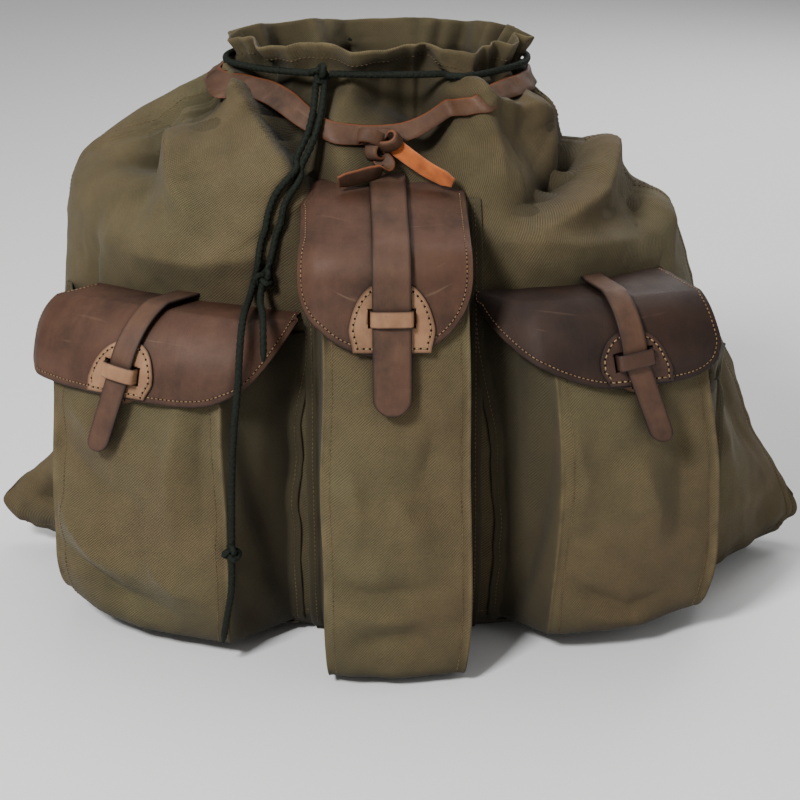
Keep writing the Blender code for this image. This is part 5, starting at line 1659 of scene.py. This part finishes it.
def ring_shift(side, up, first_side):
    """How many places the last ring is turned against the first."""
    angle = math.atan2(float(first_side @ up), float(first_side @ side))
    return round(-angle / (2 * math.pi) * TUBE_SIDES) % TUBE_SIDES


TUBE_SIDES = 16
BRAID_RELIEF = 0.13
BRAID_LAY = 0.0048
END_KNOT_SIZE = 0.00185
END_KNOT_CORD = 0.0022
NECK_KNOT_SIZE = 0.0021
NECK_KNOT_CORD = 0.0023
CORD_POINT = 0.0008


def braided(name, points, mats, radius=CORD_RADIUS, radii=None, closed=False):
    far = lengths_along(points)
    radii = np.full(len(points), radius) if radii is None else radii
    return tube(name, points, radii, mats, twist=2 * math.pi * far / BRAID_LAY, closed=closed)


def knot_turns(place, along, size, count=260):
    """A closed line wound as an overhand knot round a place on a cord."""
    side = unit(np.cross(along, (0.2, 1.0, 0.1)))
    up = np.cross(along, side)
    t = np.linspace(0, 2 * math.pi, count, endpoint=False)
    u = np.sin(t) + 2 * np.sin(2 * t)
    v = np.cos(t) - 2 * np.cos(2 * t)
    w = -1.5 * np.sin(3 * t)
    return place + size * (u[:, None] * side + v[:, None] * along + w[:, None] * up)


def on_cloth(skin, points, lift, passes=3):
    """A line raised where it would go into the sack, and smoothed again."""
    for _ in range(passes):
        points = settle(skin, points, lift)
        inner = (points[:-2] + 2 * points[1:-1] + points[2:]) / 4
        points = np.concatenate([points[:1], inner, points[-1:]])
    return settle(skin, points, lift)


def make_cord_ends(skin, mats):
    for name, rows, knot_at in (
        ("drawcord_long_end", LONG_END, LONG_KNOT_AT),
        ("drawcord_short_end", SHORT_END, SHORT_KNOT_AT),
    ):
        points, _, _ = smooth_route(rows, 0.004)
        points = on_cloth(skin, points, CORD_RADIUS + 0.0008)
        points, tangents, far = smooth_route(points, CORD_POINT)
        at_end = np.clip((far[-1] - far) / 0.008, 0.0, 1.0)
        radii = CORD_RADIUS * (0.25 + 0.75 * np.sqrt(at_end))
        obj = braided(name + "_braid", points, mats, radii=radii)
        i = int(np.argmin(np.abs(far - knot_at)))
        out = np.array([0.0, -0.0018, 0.0004])
        wound = knot_turns(points[i] + out, tangents[i], END_KNOT_SIZE)
        knot = braided(name + "_knot", wound, mats, radius=END_KNOT_CORD, closed=True)
        dress(obj, "drawcord", name)
        dress(knot, "drawcord")


def neck_ring(turns, z, lift):
    """Points round the neck, clear of its gathers by the lift."""
    level = level_at(z)
    at = plain_sack(turns, level)
    beside = plain_sack(turns + 1e-3, level) - plain_sack(turns - 1e-3, level)
    out = unit(np.stack([beside[..., 1], -beside[..., 0], 0 * turns], axis=-1))
    folds = np.maximum(fold_push(at[..., 0], at[..., 1], at[..., 2]), 0.0)
    return at + out * (PLEAT_DEPTH * (1 - PLEAT_MEAN) + folds + lift)[..., None]


def make_neck_cord(mats):
    last = CORD_KNOT_TURN + 2 * math.pi - NECK_CORD_GAP
    turns = np.linspace(CORD_KNOT_TURN + NECK_CORD_GAP, last, NECK_CORD_POINTS)
    line = neck_ring(turns, np.full(turns.shape, NECK_CORD_Z), np.full(turns.shape, NECK_CORD_LIFT))
    points, _, _ = resample(line, CORD_POINT)
    dress(braided("drawcord_neck_braid", points, mats), "drawcord", "drawcord_neck")
    turn = np.array([CORD_KNOT_TURN])
    place = neck_ring(turn, np.array([NECK_CORD_Z]), np.array([NECK_CORD_LIFT]))[0]
    along = np.array([math.sin(-CORD_KNOT_TURN), math.cos(CORD_KNOT_TURN), 0.0])
    wound = knot_turns(place, along, NECK_KNOT_SIZE)
    knot = braided("drawcord_knot_braid", wound, mats, radius=NECK_KNOT_CORD, closed=True)
    dress(knot, "drawcord", "drawcord_knot")


def wound_piece(name, profile, grid, run, half, edge_from, mats):
    """A closed strip from its profile, carried once round: a row of the grid for each corner."""
    across = np.array([side for side, _ in profile])[:, None]
    faces = quads(len(profile) + 1, grid.shape[1], wrap=True) % grid[..., 0].size
    u = np.broadcast_to(run, grid.shape[:2])
    v = np.broadcast_to(across * half, grid.shape[:2])
    edge = np.broadcast_to((np.abs(across) > edge_from).astype(float), grid.shape[:2])
    uv = np.stack([u, v], axis=-1).reshape(-1, 2)
    marks = {"edge": edge}
    obj = mesh_object(name + "_leather", grid.reshape(-1, 3), faces.tolist(), mats, uv, attributes=marks)
    fix_normals(obj)
    dress(obj, "tan_leather", name)


def make_neck_thong(mats):
    turns = np.linspace(-math.pi, math.pi, THONG_COLUMNS, endpoint=False)
    dip = np.exp(-(((turns - THONG_DIP_TURN) / THONG_DIP_SPREAD) ** 2))
    middle = THONG_BACK_Z + (THONG_FRONT_Z - THONG_BACK_Z) * dip
    profile = [(-1.0, 0.1), (-0.97, 0.6), (-0.85, 1.0), (-0.4, 1.1), (0.4, 1.1)]
    profile += [(0.85, 1.0), (0.97, 0.6), (1.0, 0.1), (0.85, 0.0), (-0.85, 0.0)]
    rings = []
    for share, out in profile:
        z = middle + share * THONG_TALL / 2
        wave = 0.0004 * np.sin(23 * turns + 2 * share)
        rings.append(neck_ring(turns, z, THONG_LIFT + out * THONG_LEATHER + wave))
    grid = np.array(rings)
    wound_piece("neck_thong", profile, grid, turns * 0.1, 0.006, 0.9, mats)


STRIP_CURL = 0.06


def strip(name, points, across, half, thickness, mats, profile=None):
    """A leather strip along points, with the way its width lies at each point."""
    along = unit(np.gradient(points, axis=0))
    width = unit(across - along * np.sum(across * along, axis=1)[:, None])
    face = unit(np.cross(width, along))
    shares = np.linspace(-1, 1, 11)
    half = np.asarray(half) * np.ones(len(points)) if profile is None else half * profile
    grid = points[:, None, :] + width[:, None, :] * shares[None, :, None] * half[:, None, None]
    curl = STRIP_CURL * (1 - shares**2)[None, :, None] * half[:, None, None]
    grid = grid + face[:, None, :] * (thickness / 2 + curl)
    normal = np.broadcast_to(face[:, None, :], grid.shape)
    return thick_sheet(name, grid, normal, thickness, mats, 0.0012)


def turning(points, first, last):
    """Ways across that turn evenly from the first to the last."""
    share = (lengths_along(points) / lengths_along(points)[-1])[:, None]
    return np.asarray(first) * (1 - share) + np.asarray(last) * share


def make_thong_knot(leather, suede):
    """Wound strands in an overhand knot, and its two tails."""
    middle = np.array(THONG_KNOT)
    t = np.linspace(0, 2 * math.pi, 220, endpoint=False)
    u = 0.0062 * (np.sin(t) + 1.55 * np.sin(2 * t))
    v = 0.0046 * (np.cos(t) - 1.55 * np.cos(2 * t))
    w = 0.0044 * -np.sin(3 * t)
    line = middle + np.stack([u, w - 0.0012, v], axis=1)
    tangents = unit(np.roll(line, -1, axis=0) - np.roll(line, 1, axis=0))
    outward = unit(line - middle - np.array([0.0, 0.004, 0.0]))
    width = unit(np.cross(tangents, outward))
    face = np.cross(width, tangents)
    profile = [(-1.0, 0.0), (-0.92, 0.8), (-0.5, 1.05), (0.0, 1.12), (0.5, 1.05), (0.92, 0.8), (1.0, 0.0)]
    profile += [(0.92, -0.8), (0.0, -1.0), (-0.92, -0.8)]
    grid = []
    for side, high in profile:
        grid.append(line + 0.0054 * side * width + 0.0014 * high * face)
    grid = np.array(grid)
    wound_piece("thong_knot", profile, grid, np.linspace(0, 0.09, grid.shape[1]), 0.0042, 0.95, leather)
    points, _, far = smooth_route(THONG_TAIL_LONG, 0.0010)
    first = np.array(TAIL_ACROSS)
    tip = 1 - 0.25 * smooth_step((far - far[-1] + 0.006) / 0.006)
    ways = turning(points, (1.0, 0.2, 0.3), first)
    obj = strip("thong_tail_long_leather", points, ways, TAIL_HALF_LONG, 0.0020, leather, tip)
    dress(obj, "tan_leather", "thong_tail_long")
    points, _, far = smooth_route(THONG_TAIL_SHORT, 0.0010)
    tip = 1 - 0.35 * smooth_step((far - far[-1] + 0.008) / 0.008)
    ways = turning(points, (0.5, 0.1, 0.9), first)
    obj = strip("thong_tail_short_suede", points, ways, TAIL_HALF_SHORT, 0.0022, suede, tip)
    dress(obj, "tan_leather", "thong_tail_short")


# The back


def back_frame(x, z):
    """(place, across, out) at this x and height on the sack's back. across and out are level."""
    step = TAB_HALF / 2
    place = np.array([x, float(back_y(x, z)), z])
    beside = float(back_y(x + step, z) - back_y(x - step, z))
    across = unit(np.array([2 * step, beside, 0.0]))
    return place, across, np.array([-across[1], across[0], 0.0])


def back_sheet(skin, name, x, z, half, half_tall, mats, thread):
    """A leather patch on the sack's back, with rounded corners and a row of stitches."""
    turn = np.linspace(-1, 1, 40)
    u, v = np.meshgrid(turn, turn)
    corner = 0.10 * (np.abs(u) * np.abs(v)) ** 6
    at_x = x + half * u * (1 - corner)
    at_z = z - half_tall * v * (1 - corner)
    grid = np.stack([at_x, back_y(at_x, at_z) + BACK_LIFT + STRAP_LEATHER, at_z], axis=-1)
    grid = settle(skin, grid, STRAP_LEATHER + 0.0002)
    normal = unit(np.cross(np.gradient(grid, axis=1), np.gradient(grid, axis=0)))
    obj = thick_sheet(name + "_leather", grid, normal, STRAP_LEATHER, mats, 0.0016)
    dress(obj, "tan_leather", name)
    ring = perimeter(34, 34)
    r = np.array([p[0] + 3 for p in ring] + [3])
    c = np.array([p[1] + 3 for p in ring] + [3])
    line = (grid[r, c], normal[r, c])
    stitches(name + "_stitches", [line], BACK_PITCH, thread, "tan_leather")


def make_back(skin, mats, metal, thread):
    back_sheet(skin, "back_anchor", 0.0, ANCHOR_Z, ANCHOR_HALF, ANCHOR_HALF_TALL, mats, thread)
    for side, name in ((-1, "left"), (1, "right")):
        place, across, out = back_frame(side * LOWER_X, LOWER_Z)
        rows = [
            (side * row.x, float(back_y(side * row.x, row.z)) + row.off, row.z)
            for row in SHOULDER
        ]
        rows += [tuple(place + off * out) for off in LOWER_RUN]
        points, _, _ = smooth_route(rows, 0.0020)
        ways = turning(points, (1.0, 0.0, 0.0), across)
        strap = f"shoulder_strap_{name}"
        obj = strip(strap + "_leather", points, ways, SHOULDER_HALF, SHOULDER_LEATHER, mats)
        dress(obj, "tan_leather", strap)
        strip_stitches(strap, points, ways, thread)
        make_buckle(f"strap_buckle_{name}", place + BUCKLE_OFF * out, across, metal)
        back_sheet(skin, f"lower_tab_{name}", side * LOWER_X, LOWER_Z, TAB_HALF, TAB_HALF_TALL, mats, thread)


def strip_stitches(name, points, across, thread):
    """A row of stitches near each side of a shoulder strap, on both its faces."""
    along = unit(np.gradient(points, axis=0))
    width = unit(across - along * np.sum(across * along, axis=1)[:, None])
    face = unit(np.cross(width, along))
    lines = []
    for side in (-1, 1):
        for up in (-1, 1):
            line = points + side * (SHOULDER_HALF - 0.0032) * width
            curl = STRIP_CURL * (1 - 0.8**2) * SHOULDER_HALF
            line = line + face * (up * SHOULDER_LEATHER / 2 + curl)
            lines.append((line[3:-3], up * face[3:-3]))
    stitches(name + "_stitches", lines, SHOULDER_PITCH, thread, "tan_leather", holes=False)


def make_buckle(name, middle, across, metal):
    """A rounded wire frame round the strap's end."""
    wide = SHOULDER_HALF + BUCKLE_CLEAR + BUCKLE_WIRE
    tall = SHOULDER_LEATHER / 2 + BUCKLE_CLEAR + BUCKLE_WIRE
    corner = 0.0018
    up = np.array([0.0, 0.0, 1.0])
    line = []
    for u, v, turn in ((1, 1, 0), (-1, 1, 90), (-1, -1, 180), (1, -1, 270)):
        for step in np.linspace(0, 90, 8):
            a = math.radians(turn + step)
            x = u * (wide - corner) + corner * math.cos(a)
            z = v * (tall - corner) + corner * math.sin(a)
            line.append(middle + x * across + z * up)
    line = np.array(line + [line[0]])
    even, _, _ = resample(line, 0.0012)
    frame_piece = tube(name + "_frame", even[:-1], np.full(len(even) - 1, BUCKLE_WIRE), metal, closed=True)
    dress(frame_piece, "dull_brass", name)


# The build


def make_object():
    canvas = canvas_material("waxed_canvas", rgb(91, 83, 57), rgb(48, 44, 30), rgb(92, 77, 53))
    hides = {}
    for name, shades in LEATHERS.items():
        hides[name] = leather_material(name, *[rgb(*shade) for shade in shades])
    suede = suede_material("thong_suede", rgb(188, 100, 40), rgb(140, 70, 28))
    cord = plain_material("drawcord_braid", rgb(24, 30, 20), rgb(8, 11, 7), 0.8, 900.0)
    thread = plain_material("linen_thread", rgb(144, 116, 84), rgb(104, 80, 58), 0.85, 400.0)
    seam_thread = plain_material("seam_thread", rgb(104, 88, 62), rgb(70, 57, 40), 0.85, 60.0)
    pale_thread = plain_material("pale_thread", rgb(158, 132, 96), rgb(120, 98, 70), 0.85, 400.0)
    # The awl holes' dark colour is painted shade inside the holes.
    hole = plain_material("awl_hole_painted_shade", rgb(26, 18, 15), rgb(16, 12, 10), 0.95, 100.0)
    brass = plain_material("dull_brass", rgb(150, 120, 66), rgb(96, 76, 44), 0.42, 80.0, 1.0)

    skin = make_sack([canvas])
    make_cord_ends(skin, cord)
    make_neck_cord(cord)
    sack_stitches([seam_thread, hole])
    for pocket in POCKETS:
        front = Front(pocket, skin)
        make_pocket(front, [canvas], [seam_thread, hole])
        slot = slot_box(front, hole)
        # The right pocket's flap, patch and keeper take darker leathers: painted shade for the sack's right
        # side, which gets less light.
        dark = pocket.name == "right"
        leather = hides["flap_leather_shaded" if dark else "flap_leather"]
        patch = hides["tan_leather_dark" if dark else "tan_leather"]
        make_flap(front, [leather], [thread, hole], slot)
        make_patch(front, [patch], [pale_thread, hole], slot)
        make_pocket_patch(front, [hides["tan_leather"]], [pale_thread, hole])
        make_strap(front, [hides["strap_leather"]])
        make_loop(front, [patch])
        bpy.data.objects.remove(slot)
    make_neck_thong([hides["thong_leather"]])
    make_thong_knot([hides["thong_leather"]], [suede])
    make_back(skin, [hides["tan_leather_dark"]], brass, [thread, hole])


Light = namedtuple("Light", "name place size power")
LIGHTS = [
    Light("key", (-1.0, -1.5, 1.7), (0.45, 0.45), 62),
    Light("fill", (1.5, -1.2, 0.9), (1.2, 1.2), 4),
    Light("top", (0.1, 0.5, 1.9), (1.4, 1.0), 14),
    Light("behind", (0.9, 1.7, 1.2), (1.0, 1.0), 16),
]
LIGHT_TARGET = (0.0, -0.05, 0.2)
WORLD_STRENGTH = 0.27
FLOOR_REACH = 6.0


def area_light(light, target):
    data = bpy.data.lights.new(light.name, "AREA")
    data.shape = "RECTANGLE"
    data.size, data.size_y = light.size
    data.energy = light.power
    obj = bpy.data.objects.new(light.name, data)
    obj.location = light.place
    obj.rotation_euler = (Vector(target) - Vector(light.place)).to_track_quat("-Z", "Y").to_euler()
    bpy.context.scene.collection.objects.link(obj)


def make_studio():
    """A pale floor and world, and soft light from the front, above and behind."""
    floor_mesh = bpy.data.meshes.new("floor")
    reach = FLOOR_REACH
    corners = [(-reach, -reach, 0), (reach, -reach, 0), (reach, reach, 0), (-reach, reach, 0)]
    floor_mesh.from_pydata(corners, [], [[0, 1, 2, 3]])
    floor = bpy.data.objects.new("floor", floor_mesh)
    bpy.context.scene.collection.objects.link(floor)
    mat = material("floor")
    mat.node_tree.nodes["Principled BSDF"].inputs["Base Color"].default_value = (0.86, 0.86, 0.86, 1)
    mat.node_tree.nodes["Principled BSDF"].inputs["Roughness"].default_value = 0.9
    floor_mesh.materials.append(mat)
    world = bpy.data.worlds.new("studio")
    world.use_nodes = True
    world.node_tree.nodes["Background"].inputs["Color"].default_value = (1, 1, 1, 1)
    world.node_tree.nodes["Background"].inputs["Strength"].default_value = WORLD_STRENGTH
    bpy.context.scene.world = world
    for light in LIGHTS:
        area_light(light, np.array(LIGHT_TARGET) + SHIFT)


def make_camera():
    data = bpy.data.cameras.new("camera")
    data.lens = CAMERA_LENS
    data.clip_end = 30
    obj = bpy.data.objects.new("camera", data)
    target = Vector(CAMERA_TARGET) + Vector(SHIFT)
    away = Vector((0, -math.cos(CAMERA_ELEVATION), math.sin(CAMERA_ELEVATION)))
    obj.location = target + away * CAMERA_DISTANCE
    obj.rotation_euler = (-away).to_track_quat("-Z", "Y").to_euler()
    bpy.context.scene.collection.objects.link(obj)
    bpy.context.scene.camera = obj


make_camera()
make_studio()
make_object()
